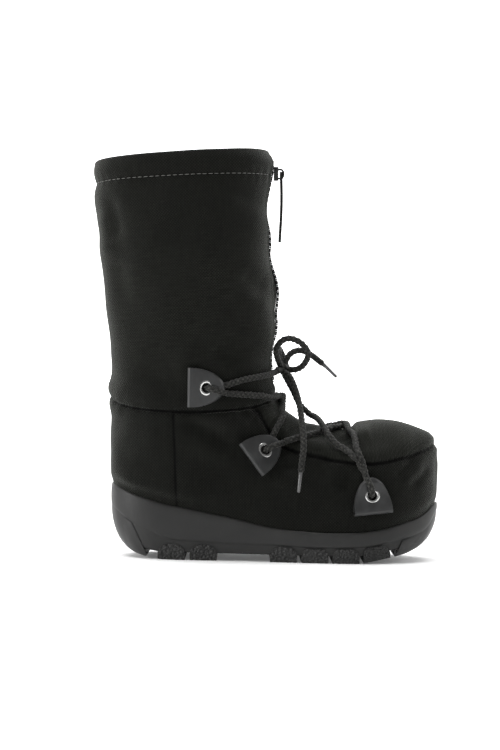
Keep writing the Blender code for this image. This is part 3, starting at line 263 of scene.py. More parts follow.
def smooth_table(rows, columns, at):
    rows = np.array(rows, float)
    keys = rows[:, 0]
    at = np.clip(at, keys[0], keys[-1])
    span = np.clip(np.searchsorted(keys, at, "right") - 1, 0, len(keys) - 2)
    step = keys[span + 1] - keys[span]
    t = (at - keys[span]) / step
    out = []
    for column in columns:
        value = rows[:, column]
        rate = np.diff(value) / np.diff(keys)
        slope = np.zeros(len(keys))
        same = rate[1:] * rate[:-1] > 0
        slope[1:-1][same] = 2 * rate[1:][same] * rate[:-1][same] / (rate[1:] + rate[:-1])[same]
        slope[0], slope[-1] = rate[0], rate[-1]
        out.append(value[span] * (2 * t**3 - 3 * t**2 + 1) + slope[span] * step * (t**3 - 2 * t**2 + t)
                   + value[span + 1] * (3 * t**2 - 2 * t**3) + slope[span + 1] * step * (t**3 - t**2))
    return out


def level(x):
    s = sizes()
    share = (np.asarray(x, float) + s.heel_back) / s.sole_length
    return [value * s.rand_height for value in smooth_table(LEVELS, (1, 2, 3, 4), share)]


def plan_outline(count):
    s = sizes()
    outer = [(float(along(a)), -o * s.ball_width) for a, o, i in OUTLINE]
    inner = [(float(along(a)), i * s.ball_width) for a, o, i in OUTLINE]
    loop = np.array(outer + inner[-2:0:-1])
    fine = []
    for k in range(len(loop)):
        p0, p1, p2, p3 = (loop[(k + d) % len(loop)] for d in (-1, 0, 1, 2))
        for t in np.linspace(0, 1, 12, endpoint=False):
            fine.append(0.5 * (2 * p1 + (p2 - p0) * t + (2 * p0 - 5 * p1 + 4 * p2 - p3) * t**2
                               + (3 * p1 - p0 - 3 * p2 + p3) * t**3))
    fine = np.array(fine)
    half = (len(outer) - 1) * 12
    sides = []
    for side in (fine[: half + 1], np.vstack([fine[half:], fine[:1]])):
        run = np.concatenate([[0], np.cumsum(np.hypot(*np.diff(side, axis=0).T))])
        want = np.linspace(0, run[-1], count + 1)
        sides.append(np.column_stack([np.interp(want, run, side[:, d]) for d in (0, 1)]))
    return np.vstack([sides[0][:-1], sides[1][:-1]])


def inward(loop):
    ahead = np.roll(loop, -1, axis=0) - np.roll(loop, 1, axis=0)
    normal = np.column_stack([-ahead[:, 1], ahead[:, 0]])
    return normal / np.linalg.norm(normal, axis=1)[:, None]


def ease(t):
    t = np.clip(t, 0, 1)
    return t * t * (3 - 2 * t)


def smooth_run(points, step):
    points = [Vector(p) for p in points]
    fine = []
    for k in range(len(points) - 1):
        p1, p2 = points[k], points[k + 1]
        p0 = points[k - 1] if k else p1 * 2 - p2
        p3 = points[k + 2] if k + 2 < len(points) else p2 * 2 - p1
        for n in range(16):
            t = n / 16
            fine.append(0.5 * (2 * p1 + (p2 - p0) * t + (2 * p0 - 5 * p1 + 4 * p2 - p3) * t * t
                               + (3 * p1 - p0 - 3 * p2 + p3) * t**3))
    fine.append(points[-1])
    run = np.concatenate([[0], np.cumsum([(b - a).length for a, b in zip(fine, fine[1:])])])
    want = np.linspace(0, run[-1], max(2, round(run[-1] / step)) + 1)
    fine = np.array([p[:] for p in fine])
    return [Vector([np.interp(w, run, fine[:, d]) for d in range(3)]) for w in want]


def chain_distance(px, pz, chain):
    """Distance of each point to a chain in side view, with its side's sign and its place along the chain."""
    best = np.full(px.shape, 1e9)
    sign = np.ones(px.shape)
    where = np.zeros(px.shape)
    chain = np.array(chain, float)
    run = np.concatenate([[0], np.cumsum(np.hypot(*np.diff(chain, axis=0).T))])
    for k in range(len(chain) - 1):
        a, b = chain[k], chain[k + 1]
        d = b - a
        size = np.hypot(*d)
        t = np.clip(((px - a[0]) * d[0] + (pz - a[1]) * d[1]) / size**2, 0, 1)
        gap = np.hypot(px - a[0] - t * d[0], pz - a[1] - t * d[1])
        closer = gap < best
        best[closer] = gap[closer]
        cross = d[0] * (pz - a[1]) - d[1] * (px - a[0])
        sign[closer] = np.sign(cross)[closer]
        where[closer] = (run[k] + t * size)[closer] / run[-1]
    return best, np.where(sign == 0, 1, sign), where


# Materials
class Look:
    """A Principled material and short ways to add nodes to it."""

    def __init__(self, name, base, roughness, metallic=0.0, **sockets):
        self.material = bpy.data.materials.new(name)
        self.material.use_nodes = True
        self.tree = self.material.node_tree
        self.shader = self.tree.nodes["Principled BSDF"]
        self.shader.inputs["Base Color"].default_value = (*base, 1)
        self.shader.inputs["Roughness"].default_value = roughness
        self.shader.inputs["Metallic"].default_value = metallic
        for key, value in sockets.items():
            self.shader.inputs[key.replace("_", " ")].default_value = value
        self.material.diffuse_color = (*base, 1)

    def add(self, kind, inputs=None, **settings):
        node = self.tree.nodes.new(kind)
        for key, value in settings.items():
            setattr(node, key, value)
        for key, value in (inputs or {}).items():
            if isinstance(value, bpy.types.NodeSocket):
                self.tree.links.new(value, node.inputs[key])
            else:
                node.inputs[key].default_value = value
        return node

    def maths(self, operation, a, b=None, c=None):
        inputs = {0: a}
        if b is not None:
            inputs[1] = b
        if c is not None:
            inputs[2] = c
        return self.add("ShaderNodeMath", inputs, operation=operation).outputs[0]

    def place(self):
        return self.add("ShaderNodeTexCoord").outputs["Object"]

    def uv(self):
        return self.add("ShaderNodeUVMap").outputs[0]

    def parts(self, vector):
        return self.add("ShaderNodeSeparateXYZ", {0: vector}).outputs

    def stretched(self, vector, scale):
        return self.add("ShaderNodeMapping", {"Vector": vector, "Scale": scale}).outputs[0]

    def noise(self, vector, scale, detail=3.0, rough=0.5):
        return self.add("ShaderNodeTexNoise", {"Vector": vector, "Scale": scale, "Detail": detail,
                                               "Roughness": rough}).outputs["Fac"]

    def cells(self, vector, scale, feature="F1"):
        return self.add("ShaderNodeTexVoronoi", {"Vector": vector, "Scale": scale},
                        feature=feature).outputs["Distance"]

    def mapped(self, value, low, high, to_low, to_high):
        return self.add("ShaderNodeMapRange", {0: value, 1: low, 2: high, 3: to_low, 4: to_high}).outputs[0]

    def attribute(self, name):
        return self.add("ShaderNodeAttribute", attribute_name=name).outputs["Fac"]

    def blended(self, share, a, b, mode="MIX"):
        node = self.add("ShaderNodeMix", data_type="RGBA", blend_type=mode)
        for key, value in ((0, share), (6, a), (7, b)):
            if isinstance(value, bpy.types.NodeSocket):
                self.tree.links.new(value, node.inputs[key])
            elif key:
                node.inputs[key].default_value = (*value[:3], 1)
            else:
                node.inputs[key].default_value = value
        return node.outputs[2]

    def bump(self, height, distance, strength=1.0, under=None):
        inputs = {"Height": height, "Distance": distance, "Strength": strength}
        if under is not None:
            inputs["Normal"] = under
        return self.add("ShaderNodeBump", inputs).outputs[0]

    def drive(self, socket, value):
        self.tree.links.new(value, self.shader.inputs[socket])


def scaled(base, factor):
    return tuple(min(1.0, c * factor) for c in base)


def woven(look, uv, pitch):
    """Height of a plain weave of round yarns."""
    u, v, _ = look.parts(uv)
    across = look.maths("SINE", look.maths("MULTIPLY", u, math.pi / pitch))
    down = look.maths("SINE", look.maths("MULTIPLY", v, math.pi / pitch))
    warp, weft = look.maths("ABSOLUTE", across), look.maths("ABSOLUTE", down)
    over = look.maths("GREATER_THAN", look.maths("MULTIPLY", across, down), 0.0)
    mixed = look.add("ShaderNodeMix", {0: over, 2: weft, 3: warp}, data_type="FLOAT").outputs[0]
    return mixed


def fabric_look():
    base = tuple(colours().fabric)
    look = Look("Woven fabric", base, 0.74, Sheen_Weight=0.24, Sheen_Roughness=0.36, Specular_IOR_Level=0.07)
    look.shader.inputs["Sheen Tint"].default_value = (0.78, 0.80, 0.74, 1)
    uv = look.uv()
    weave = woven(look, uv, 0.00082)
    slubs = look.noise(look.stretched(uv, (60, 900, 1)), 1.0, 2.0)
    runs = look.noise(look.stretched(uv, (800, 50, 1)), 1.0, 2.0)
    patches = look.noise(look.place(), 22.0, 3.0)
    u, v, _ = look.parts(uv)
    lean = look.maths("SINE", look.maths("MULTIPLY", u, 2 * math.pi / 0.0026))
    rise = look.maths("SINE", look.maths("MULTIPLY", v, 2 * math.pi / 0.0026))
    # Mask of the top panel of the foot: it softens the weave's crosshatch there and carries the painted highlight
    # further down.
    top = look.maths("MULTIPLY", look.mapped(look.attribute("seam_vamp"), 0.0, 0.003, 0.0, 1.0),
                     look.mapped(look.attribute("seam_vamp"), 0.040, 0.048, 1.0, 0.0))
    diamonds = look.maths("MULTIPLY", look.maths("MULTIPLY", lean, rise), look.mapped(top, 0.0, 1.0, 1.0, 0.3))
    _, _, high = look.parts(look.place())
    band = look.maths("MULTIPLY", look.mapped(high, 0.14, 0.19, 0.15, 1.0), look.mapped(high, 0.24, 0.30, 1.0, 0.3))
    slubs = look.maths("MULTIPLY", look.mapped(slubs, 0.35, 0.75, 0.0, 1.0), band)
    yarn = look.maths("ADD", slubs, look.mapped(runs, 0.4, 0.8, 0.0, 0.6))
    bright = look.maths("MULTIPLY", look.mapped(weave, 0.0, 1.0, 0.8, 1.1), look.mapped(yarn, 0.0, 1.4, 0.6, 1.6))
    # Painted highlight: the top panel of the foot is painted up to 1.7 times lighter, in place of the light from
    # above that it catches at a grazing angle.
    bright = look.maths("MULTIPLY", bright, look.mapped(top, 0.0, 1.0, 1.0, 1.7))
    bright = look.maths("MULTIPLY", bright, look.mapped(diamonds, -1.0, 1.0, 0.1, 1.9))
    bright = look.maths("MULTIPLY", bright, look.mapped(patches, 0.3, 0.7, 0.85, 1.15))
    # Painted shade: the cloth is darkened along the ankle, vamp and heel seams and along the hem line, in place of
    # the shade in their grooves.
    seam = None
    for name, width in (("seam_ankle", 0.00110), ("seam_vamp", 0.00120), ("seam_heel", 0.00080)):
        gap = look.maths("ABSOLUTE", look.attribute(name))
        line = look.mapped(gap, width * 0.7, width * 1.9, 1.0, 0.0)
        seam = line if seam is None else look.maths("MAXIMUM", seam, line)
    hem = look.mapped(look.maths("ABSOLUTE", look.attribute("seam_hem")), 0.0006, 0.0016, 0.6, 0.0)
    seam_shade = look.maths("MAXIMUM", seam, hem)
    bright = look.maths("MULTIPLY", bright, look.maths("SUBTRACT", 1.0, look.maths("MULTIPLY", seam_shade, 0.95)))
    tone = look.add("ShaderNodeCombineColor", {0: bright, 1: bright, 2: bright}).outputs[0]
    look.drive("Base Color", look.blended(1.0, scaled(base, 1.15), tone, "MULTIPLY"))
    height = look.maths("ADD", look.maths("MULTIPLY", weave, 0.8),
                        look.maths("ADD", look.maths("MULTIPLY", yarn, 0.6), diamonds))
    normal = look.bump(height, 0.00016, 0.8)
    puckers = look.noise(look.place(), 260.0, 2.0)
    near = look.mapped(look.maths("MINIMUM", look.maths("ABSOLUTE", look.attribute("seam_vamp")),
                                  look.maths("ABSOLUTE", look.attribute("seam_ankle"))), 0.0, 0.007, 1.0, 0.0)
    normal = look.bump(look.maths("MULTIPLY", puckers, near), 0.0012, 0.7, normal)
    normal = look.bump(look.maths("SUBTRACT", 1.0, seam_shade), 0.0003, 0.5, normal)
    look.drive("Normal", normal)
    look.drive("Roughness", look.mapped(patches, 0.3, 0.7, 0.72, 0.84))
    return look.material


def lining_look():
    base = tuple(colours().lining)
    look = Look("Pile lining", base, 0.95, Sheen_Weight=0.35, Sheen_Roughness=0.5)
    tufts = look.noise(look.place(), 520.0, 4.0, 0.7)
    clumps = look.noise(look.place(), 120.0, 2.0)
    tone = look.mapped(look.maths("MULTIPLY", tufts, clumps), 0.1, 0.45, 0.5, 1.5)
    look.drive("Base Color", look.blended(tone, scaled(base, 0.5), scaled(base, 1.5)))
    look.drive("Normal", look.bump(look.maths("ADD", tufts, clumps), 0.0012, 0.9))
    return look.material


def rubber_look(name, rough_face=False):
    base = tuple(colours().rubber)
    look = Look(name, base, 0.5, Specular_IOR_Level=0.3)
    at = look.place()
    patches = look.noise(at, 30.0, 4.0)
    grain = look.noise(at, 900.0, 2.0)
    dust = look.mapped(look.noise(at, 70.0, 5.0, 0.65), 0.55, 0.8, 0.0, 0.35)
    tone = look.blended(look.mapped(patches, 0.35, 0.65, 0.0, 1.0), scaled(base, 0.82), scaled(base, 1.12))
    look.drive("Base Color", look.blended(dust, tone, scaled(base, 1.9)))
    if rough_face:
        pits = look.cells(at, 420.0)
        crumbs = look.noise(at, 380.0, 3.0, 0.7)
        height = look.maths("ADD", look.maths("MULTIPLY", pits, 1.6), crumbs)
        look.drive("Normal", look.bump(height, 0.0011, 1.0))
        look.drive("Roughness", look.mapped(crumbs, 0.3, 0.7, 0.32, 0.6))
    else:
        look.drive("Normal", look.bump(grain, 0.00008, 0.7))
        look.drive("Roughness", look.mapped(patches, 0.3, 0.7, 0.42, 0.56))
    return look.material


def leather_look():
    base = tuple(colours().leather)
    look = Look("Tab leather", base, 0.42, Specular_IOR_Level=0.4)
    at = look.place()
    grain = look.cells(at, 1500.0, "SMOOTH_F1")
    wear = look.noise(at, 90.0, 4.0)
    look.drive("Base Color", look.blended(look.mapped(wear, 0.35, 0.7, 0.0, 1.0), scaled(base, 0.85),
                                          scaled(base, 1.35)))
    look.drive("Normal", look.bump(look.maths("ADD", grain, look.maths("MULTIPLY", wear, 2.0)), 0.00012, 0.8))
    look.drive("Roughness", look.mapped(wear, 0.3, 0.7, 0.36, 0.5))
    return look.material


def nickel_look():
    base = tuple(colours().nickel)
    look = Look("Nickel plate", base, 0.2, 1.0)
    at = look.place()
    scratches = look.noise(look.stretched(at, (2400, 2400, 300)), 1.0, 3.0)
    look.drive("Normal", look.bump(scratches, 0.00003, 0.6))
    look.drive("Roughness", look.mapped(look.noise(at, 200.0), 0.3, 0.7, 0.13, 0.3))
    look.drive("Base Color", look.blended(look.mapped(look.noise(at, 160.0), 0.4, 0.7, 0.0, 1.0), base,
                                          scaled(base, 0.8)))
    return look.material


def lace_look():
    base = tuple(colours().lace)
    look = Look("Braided lace", base, 0.62, Sheen_Weight=0.1, Sheen_Roughness=0.4)
    look.shader.inputs["Specular IOR Level"].default_value = 0.22
    uv = look.uv()
    fibres = look.noise(look.stretched(uv, (1600, 5200, 1)), 1.0, 2.0)
    # Painted highlight and shade: the braid's raised strands are painted lighter and the hollows between them darker,
    # following the strand relief that braid() stores.
    strand = look.attribute("strand")
    specks = look.mapped(look.noise(look.place(), 900.0, 2.0), 0.42, 0.68, 0.5, 2.6)
    tone = look.maths("MULTIPLY", look.mapped(look.maths("POWER", strand, 1.6), 0.0, 1.0, 0.12, 1.6),
                      look.maths("MULTIPLY", specks, look.mapped(fibres, 0.3, 0.7, 0.75, 1.25)))
    grey = look.add("ShaderNodeCombineColor", {0: tone, 1: tone, 2: tone}).outputs[0]
    look.drive("Base Color", look.blended(1.0, scaled(base, 1.3), grey, "MULTIPLY"))
    look.drive("Normal", look.bump(fibres, 0.0001, 0.8))
    return look.material


def thread_look():
    base = tuple(colours().thread)
    look = Look("Hem thread", base, 0.6, Sheen_Weight=0.1)
    twist = look.noise(look.stretched(look.place(), (3000, 3000, 5000)), 1.0, 2.0)
    look.drive("Normal", look.bump(twist, 0.0001, 0.8))
    look.drive("Base Color", look.blended(look.mapped(twist, 0.35, 0.65, 0.0, 1.0), scaled(base, 0.6), base))
    return look.material


def tape_look():
    base = tuple(colours().zip)
    look = Look("Zip tape", base, 0.8, Sheen_Weight=0.05, Specular_IOR_Level=0.12)
    uv = look.uv()
    u, v, _ = look.parts(uv)
    ribs = look.maths("SINE", look.maths("MULTIPLY", look.maths("ADD", u, look.maths("PINGPONG", v, 0.0006)),
                                         math.pi / 0.0005))
    look.drive("Normal", look.bump(ribs, 0.0001, 0.8))
    look.drive("Base Color", look.blended(look.mapped(ribs, -1, 1, 0, 1), scaled(base, 0.7), scaled(base, 1.3)))
    return look.material


def plastic_look(name, base, roughness, metallic=0.0, coat=0.0):
    look = Look(name, base, roughness, metallic, Coat_Weight=coat, Specular_IOR_Level=0.25)
    at = look.place()
    worn = look.noise(at, 400.0, 3.0)
    look.drive("Roughness", look.mapped(worn, 0.3, 0.7, roughness * 0.8, roughness * 1.3))
    look.drive("Base Color", look.blended(look.mapped(worn, 0.4, 0.7, 0, 1), base, scaled(base, 1.4)))
    look.drive("Normal", look.bump(worn, 0.00004, 0.5))
    return look.material


def felt_look():
    base = tuple(colours().felt)
    look = Look("Insole felt", base, 0.95, Sheen_Weight=0.3)
    fuzz = look.noise(look.place(), 700.0, 4.0, 0.7)
    look.drive("Normal", look.bump(fuzz, 0.0006, 0.8))
    look.drive("Base Color", look.blended(look.mapped(fuzz, 0.3, 0.7, 0, 1), scaled(base, 0.6), scaled(base, 1.4)))
    return look.material


# Mesh helpers
def deselect():
    for other in bpy.context.selected_objects:
        other.select_set(False)


def keep(obj, *looks):
    """Gives a finished piece its materials."""
    obj.data.materials.clear()
    for look in looks:
        obj.data.materials.append(look)
    return obj


def mesh_piece(name, points, faces, look, uv=None):
    mesh = bpy.data.meshes.new(name)
    mesh.from_pydata([tuple(p) for p in points], [], faces)
    made = bpy.data.objects.new(name, mesh)
    bpy.context.scene.collection.objects.link(made)
    if look:
        mesh.materials.append(look)
    mesh.shade_smooth()
    if uv is not None:
        layer = mesh.uv_layers.new(name="UVMap")
        flat = np.array([uv[loop.vertex_index] for loop in mesh.loops], np.float32)
        layer.data.foreach_set("uv", flat.ravel())
    return made


def outward(obj, merge=0.0):
    body = bmesh.new()
    body.from_mesh(obj.data)
    if merge:
        bmesh.ops.remove_doubles(body, verts=body.verts, dist=merge)
    bmesh.ops.recalc_face_normals(body, faces=body.faces)
    body.to_mesh(obj.data)
    body.free()
    return obj


def apply_modifiers(obj):
    deselect()
    bpy.context.view_layer.objects.active = obj
    obj.select_set(True)
    for change in list(obj.modifiers):
        bpy.ops.object.modifier_apply(modifier=change.name)
    obj.select_set(False)
    return obj


def settle(obj):
    """Puts the piece's place into its mesh, so that its object sits at the origin."""
    bpy.context.view_layer.update()
    obj.data.transform(obj.matrix_world)
    obj.matrix_world = Matrix.Identity(4)
    return obj


# The fabric skin
class Skin:
    """The upper's outer surface: rings from the rim to the toe, fine enough for its folds and seams."""

    def __init__(self):
        s = sizes()
        self.columns = 216
        t = np.arange(self.columns) / self.columns
        self.phi = 2 * math.pi * t + 0.38 * np.sin(2 * math.pi * t)
        rise = s.shaft_height - s.ankle_height
        rings = []
        for bx, bz, fx, fz, half, dip in SHAFT_RINGS:
            rings.append(self.ring((s.shaft_axis + bx * s.shaft_depth, s.ankle_height + bz * rise),
                                   (s.shaft_axis + fx * s.shaft_depth, s.ankle_height + fz * rise),
                                   half * s.shaft_width, half * s.shaft_width, dip * s.ankle_height, 0.5, 2.25, 2.25))
        for lx, lz, hx, hz, outer, inner, dip, widest, low, high in FOOT_RINGS:
            rings.append(self.ring((float(along(lx)), lz * s.ankle_height), (float(along(hx)), hz * s.ankle_height),
                                   outer * s.ball_width, inner * s.ball_width, dip * s.ankle_height,
                                   widest, low, high))
        rings = np.array(rings)
        self.seam_ring = len(SHAFT_RINGS)
        gaps = np.linalg.norm(np.diff(rings, axis=0), axis=2)
        widest = gaps.max(axis=1)
        keys = np.concatenate([[0], np.cumsum(gaps.mean(axis=1))])
        wanted, self.ring_row = [], []
        for k, span in enumerate(widest):
            count = max(2, int(round(span / 0.0023)))
            if k in (self.seam_ring - 1, self.seam_ring):
                count = max(count, 7)
            self.ring_row.append(len(wanted))
            share = np.arange(count) / count
            if k == self.seam_ring - 1:
                share = 1 - (1 - share) ** 1.5
            if k == self.seam_ring:
                share = share**1.5
            wanted += list(keys[k] + (keys[k + 1] - keys[k]) * share)
        self.ring_row.append(len(wanted))
        wanted.append(keys[-1])
        self.t = np.array(wanted)
        grid = self.through(rings, keys, self.t)
        self.plain = self.tucked(grid)
        self.normal = self.normals(self.plain)
        self.rows = len(self.t)
        self.measure()
        self.grid = self.folded()
        self.fine_normal = self.normals(self.grid)
        flat = [Vector(p) for p in self.grid.reshape(-1, 3)]
        n = self.columns
        faces = [(k * n + j, k * n + (j + 1) % n, (k + 1) * n + (j + 1) % n, (k + 1) * n + j)
                 for k in range(self.rows - 1) for j in range(n)]
        self.tree = BVHTree.FromPolygons(flat, faces)

    def ring(self, low, high, outer, inner, dip, widest, square_low, square_high):
        low, high = np.array(low), np.array(high)
        run = high - low
        across = np.array([-run[1], run[0]]) / np.linalg.norm(run)
        if across[1] > 0:
            across = -across
        side = np.where(self.phi <= math.pi, -1.0, 1.0)
        half = np.where(side < 0, outer, inner)
        angle = np.where(self.phi <= math.pi, self.phi, 2 * math.pi - self.phi)
        square = np.where(angle < math.pi / 2, square_low, square_high)
        reach = np.abs(np.cos(angle)) ** (2 / square)
        share = np.where(angle < math.pi / 2, widest - widest * reach, widest + (1 - widest) * reach)
        width = np.abs(np.sin(angle)) ** (2 / square)
        flat = low[None] + run[None] * share[:, None] + across[None] * dip * width[:, None]
        return np.column_stack([flat[:, 0], side * half * width, flat[:, 1]])

    def through(self, rings, keys, at):
        slope = np.zeros_like(rings)
        step = np.diff(keys)
        rate = np.diff(rings, axis=0) / step[:, None, None]
        slope[1:-1] = ((rate[:-1] * step[1:, None, None] + rate[1:] * step[:-1, None, None])
                       / (step[1:] + step[:-1])[:, None, None])
        slope[0], slope[-1] = rate[0], rate[-1]
        span = np.clip(np.searchsorted(keys, at, "right") - 1, 0, len(keys) - 2)
        h = step[span][:, None, None]
        u = ((at - keys[span]) / step[span])[:, None, None]
        return (rings[span] * (2 * u**3 - 3 * u**2 + 1) + slope[span] * h * (u**3 - 2 * u**2 + u)
                + rings[span + 1] * (3 * u**2 - 2 * u**3) + slope[span + 1] * h * (u**3 - u**2))

    def tucked(self, grid):
        """Leads the foot smoothly down inside the sole's edge, and rests it on the sole's floor."""
        s = sizes()
        flat = grid.reshape(-1, 3).copy()
        loop = plan_outline(112)
        after = np.roll(loop, -1, axis=0)
        edge = after - loop
        size = np.linalg.norm(edge, axis=1)
        normal = np.column_stack([-edge[:, 1], edge[:, 0]]) / size[:, None]
        run = np.concatenate([[0], np.cumsum(size)])[:-1]
        rand, _, floor, _ = level(flat[:, 0])
        over = flat[:, 2] - rand
        blend = ease((over - 0.004) / 0.014)
        least = 0.0044 - 0.0034 * ease((over + 0.007) / 0.007) - 0.006 * ease(over / 0.014)
        self.plan_run = np.zeros(len(flat))
        for start in range(0, len(flat), 20000):
            part = flat[start:start + 20000]
            offset = part[:, None, :2] - loop[None]
            t = np.clip((offset * edge[None]).sum(2) / size[None] ** 2, 0, 1)
            gap = offset - edge[None] * t[:, :, None]
            distance = np.linalg.norm(gap, axis=2)
            near = distance.argmin(axis=1)
            pick = np.arange(len(part))
            inside = distance[pick, near] * np.sign((offset[pick, near] * normal[near]).sum(1) + 1e-12)
            self.plan_run[start:start + 20000] = run[near] + t[pick, near] * size[near]
            b = blend[start:start + 20000]
            excess = least[start:start + 20000] - inside
            soft = 0.0016 * (1 - b) + 1e-9
            move = 0.5 * (excess + np.sqrt(excess**2 + soft**2)) * (1 - b * b)
            flat[start:start + 20000, :2] += normal[near] * move[:, None]
        flat[:, 2] = np.maximum(flat[:, 2], floor + 0.0005)
        self.outline_length = run[-1] + size[-1]
        return flat.reshape(grid.shape)

    def normals(self, grid):
        ahead = np.empty_like(grid)
        ahead[1:-1] = grid[2:] - grid[:-2]
        ahead[0], ahead[-1] = grid[1] - grid[0], grid[-1] - grid[-2]
        round_ = np.roll(grid, -1, axis=1) - np.roll(grid, 1, axis=1)
        normal = np.cross(round_, ahead)
        size = np.linalg.norm(normal, axis=2)[:, :, None]
        normal = np.where(size > 1e-12, normal / np.maximum(size, 1e-12), np.array([0, 0, -1.0]))
        if (normal[8] * (grid[8] - grid[8].mean(axis=0))).sum() < 0:
            normal = -normal
        return normal

    def measure(self):
        """Where each point lies: distance to each seam, run down from the rim, and the way round."""
        s = sizes()
        p = self.plain
        x, z = p[..., 0] * 1000, p[..., 2] * 1000
        down = np.concatenate([np.zeros((1, self.columns)),
                               np.cumsum(np.linalg.norm(np.diff(p, axis=0), axis=2), axis=0)])
        self.down = down
        hem_row, seam_row = self.ring_row[2], self.ring_row[self.seam_ring]
        self.hem = down - down[hem_row][None]
        self.ankle = down - down[seam_row][None]
        gap, sign, where = chain_distance(x, z, VAMP_SEAM)
        vamp = gap * sign / 1000
        below = self.ankle > 0.0
        far = 0.05
        self.vamp = np.where(below, vamp + 0.002 * ease((80 - x) / 10), far)
        gap, sign, where = chain_distance(x, z, HEEL_SEAM)
        self.heel = np.where(below, gap * sign / 1000, far)
        lengths = np.linalg.norm(np.diff(np.concatenate([p, p[:, :1]], axis=1), axis=1), axis=2)
        self.around = np.concatenate([np.zeros((self.rows, 1)), np.cumsum(lengths, axis=1)], axis=1)

    def folded(self):
        s = sizes()
        p, down = self.plain, self.down
        x, y, z = p[..., 0] * 1000, p[..., 1] * 1000, p[..., 2] * 1000
        push = np.zeros(x.shape)
        for side, depth, width, run in FOLDS:
            gap, _, where = chain_distance(x, z, smooth_chain(run))
            ends = np.minimum(1, np.minimum(where, 1 - where) / 0.3 + 0.25)
            mask = 1.0 if side == 0 else ease((side * y + 6) / 12)
            push += 1.9 * depth * np.exp(-((gap / width) ** 2)) * ends * mask
        # Soft unevenness of padded cloth
        waves = ((0.061, 0.013, 0.035, 0.4), (0.023, 0.071, -0.041, 1.9), (-0.047, 0.029, 0.083, 3.1),
                 (0.093, -0.057, 0.049, 0.7), (0.019, 0.043, 0.121, 2.3), (0.131, 0.017, -0.067, 5.0))
        for a, b, c, shift in waves:
            push += 0.32 * np.sin(a * x + b * y + c * z + shift)
        quiet = ease((z - (level(p[..., 0])[0] * 1000 + 2)) / 10)
        push *= quiet
        # Hem casing and its stitch line
        hem = self.hem * 1000
        gathers = np.sin(self.around[:, :-1] * 1000 * 0.62 + 1.3 * np.sin(y * 0.07 + x * 0.05))
        push += 0.9 * np.exp(-(((hem + 15) / 9) ** 2)) - 0.9 * np.exp(-((hem / 2.0) ** 2))
        push += 0.22 * gathers * np.exp(-((hem / 7) ** 2))
        # Seams: cloth dips at the seam and swells beside it
        ankle = self.ankle * 1000
        deep = s.seam_depth * 1000
        push += -1.25 * deep * np.exp(-((ankle / 1.6) ** 2)) + 1.0 * np.exp(-(((ankle - 7) / 5) ** 2))
        push += 1.5 * np.exp(-(((ankle + 7) / 6) ** 2))
        vamp = self.vamp * 1000
        fade = ease((x - 68) / 16)
        push += -deep * np.exp(-((vamp / 2.0) ** 2)) * quiet * fade
        push += 1.7 * (np.exp(-(((vamp - 8) / 7) ** 2)) - 0.27 * np.exp(-((vamp / 3) ** 2))) * (vamp > 0) * fade
        push += 0.6 * (np.exp(-(((vamp + 6) / 5) ** 2)) - 0.24 * np.exp(-((vamp / 3) ** 2))) * (vamp < 0) * fade
        heel = self.heel * 1000
        push += -0.8 * deep * np.exp(-((heel / 1.8) ** 2)) * quiet
        # Small puckers that run across the seams
        seam_near = np.exp(-((ankle / 9) ** 2)) + np.exp(-((vamp / 9) ** 2)) * 0.8
        push += 0.28 * np.sin(self.around[:, :-1] * 1000 * 0.42 + 0.8 * np.sin(x * 0.11)) * seam_near * quiet
        # Channel of the zip
        shaft = ease((self.ankle * -1000 - 5) / 10) * ease((self.down * 1000 - 1.5) / 3.0)
        half = s.placket_width * 500
        front = ease((x - 20) / 20)
        edge = half - np.abs(y)
        wave = 1.5 * np.exp(-(((z - 238) / 17) ** 2)) + 0.8 * np.exp(-(((z - 205) / 9) ** 2))
        wave += 0.7 * np.exp(-(((z - 282) / 8) ** 2))
        push -= s.placket_depth * 1000 * ease(edge / 2.0) * shaft * front * (1 - wave)
        push += 0.55 * np.exp(-(((edge + 2.2) / 1.6) ** 2)) * shaft * front
        push *= ease((down[-1][None] - down) / 0.014)
        self.sunk = np.minimum(push, 0) / 1000
        return p + self.normal * (push / 1000)[..., None]

    def off(self, point, distance):
        """The point moved to this distance off the cloth."""
        near, normal, face, gap = self.tree.find_nearest(Vector(point))
        row, column = divmod(face, self.columns)
        block = self.normal[row:row + 2, [column, (column + 1) % self.columns]].reshape(-1, 3)
        normal = Vector(block.sum(axis=0)).normalized()
        return near + normal * distance, normal


def smooth_chain(points):
    return [(p.x, p.y) for p in smooth_run([(a, b, 0) for a, b in points], 4.0)]


SHARED = {}


def skin():
    if "skin" not in SHARED:
        SHARED["skin"] = Skin()
    return SHARED["skin"]


def look(name):
    makers = {
        "fabric": fabric_look, "lining": lining_look, "rubber": lambda: rubber_look("Moulded rubber"),
        "lugs": lambda: rubber_look("Rough lug rubber", True), "leather": leather_look, "nickel": nickel_look,
        "lace": lace_look, "thread": thread_look, "tape": tape_look, "felt": felt_look,
        "teeth": lambda: plastic_look("Zip teeth", tuple(colours().zip), 0.5, 0.0, 0.0),
        "enamel": lambda: plastic_look("Black enamel", tuple(colours().enamel), 0.45, 0.0, 0.05),
        "aglet": lambda: plastic_look("Aglet plastic", tuple(colours().aglet), 0.15, 0.0, 0.5),
    }
    if name not in SHARED:
        SHARED[name] = makers[name]()
    return SHARED[name]


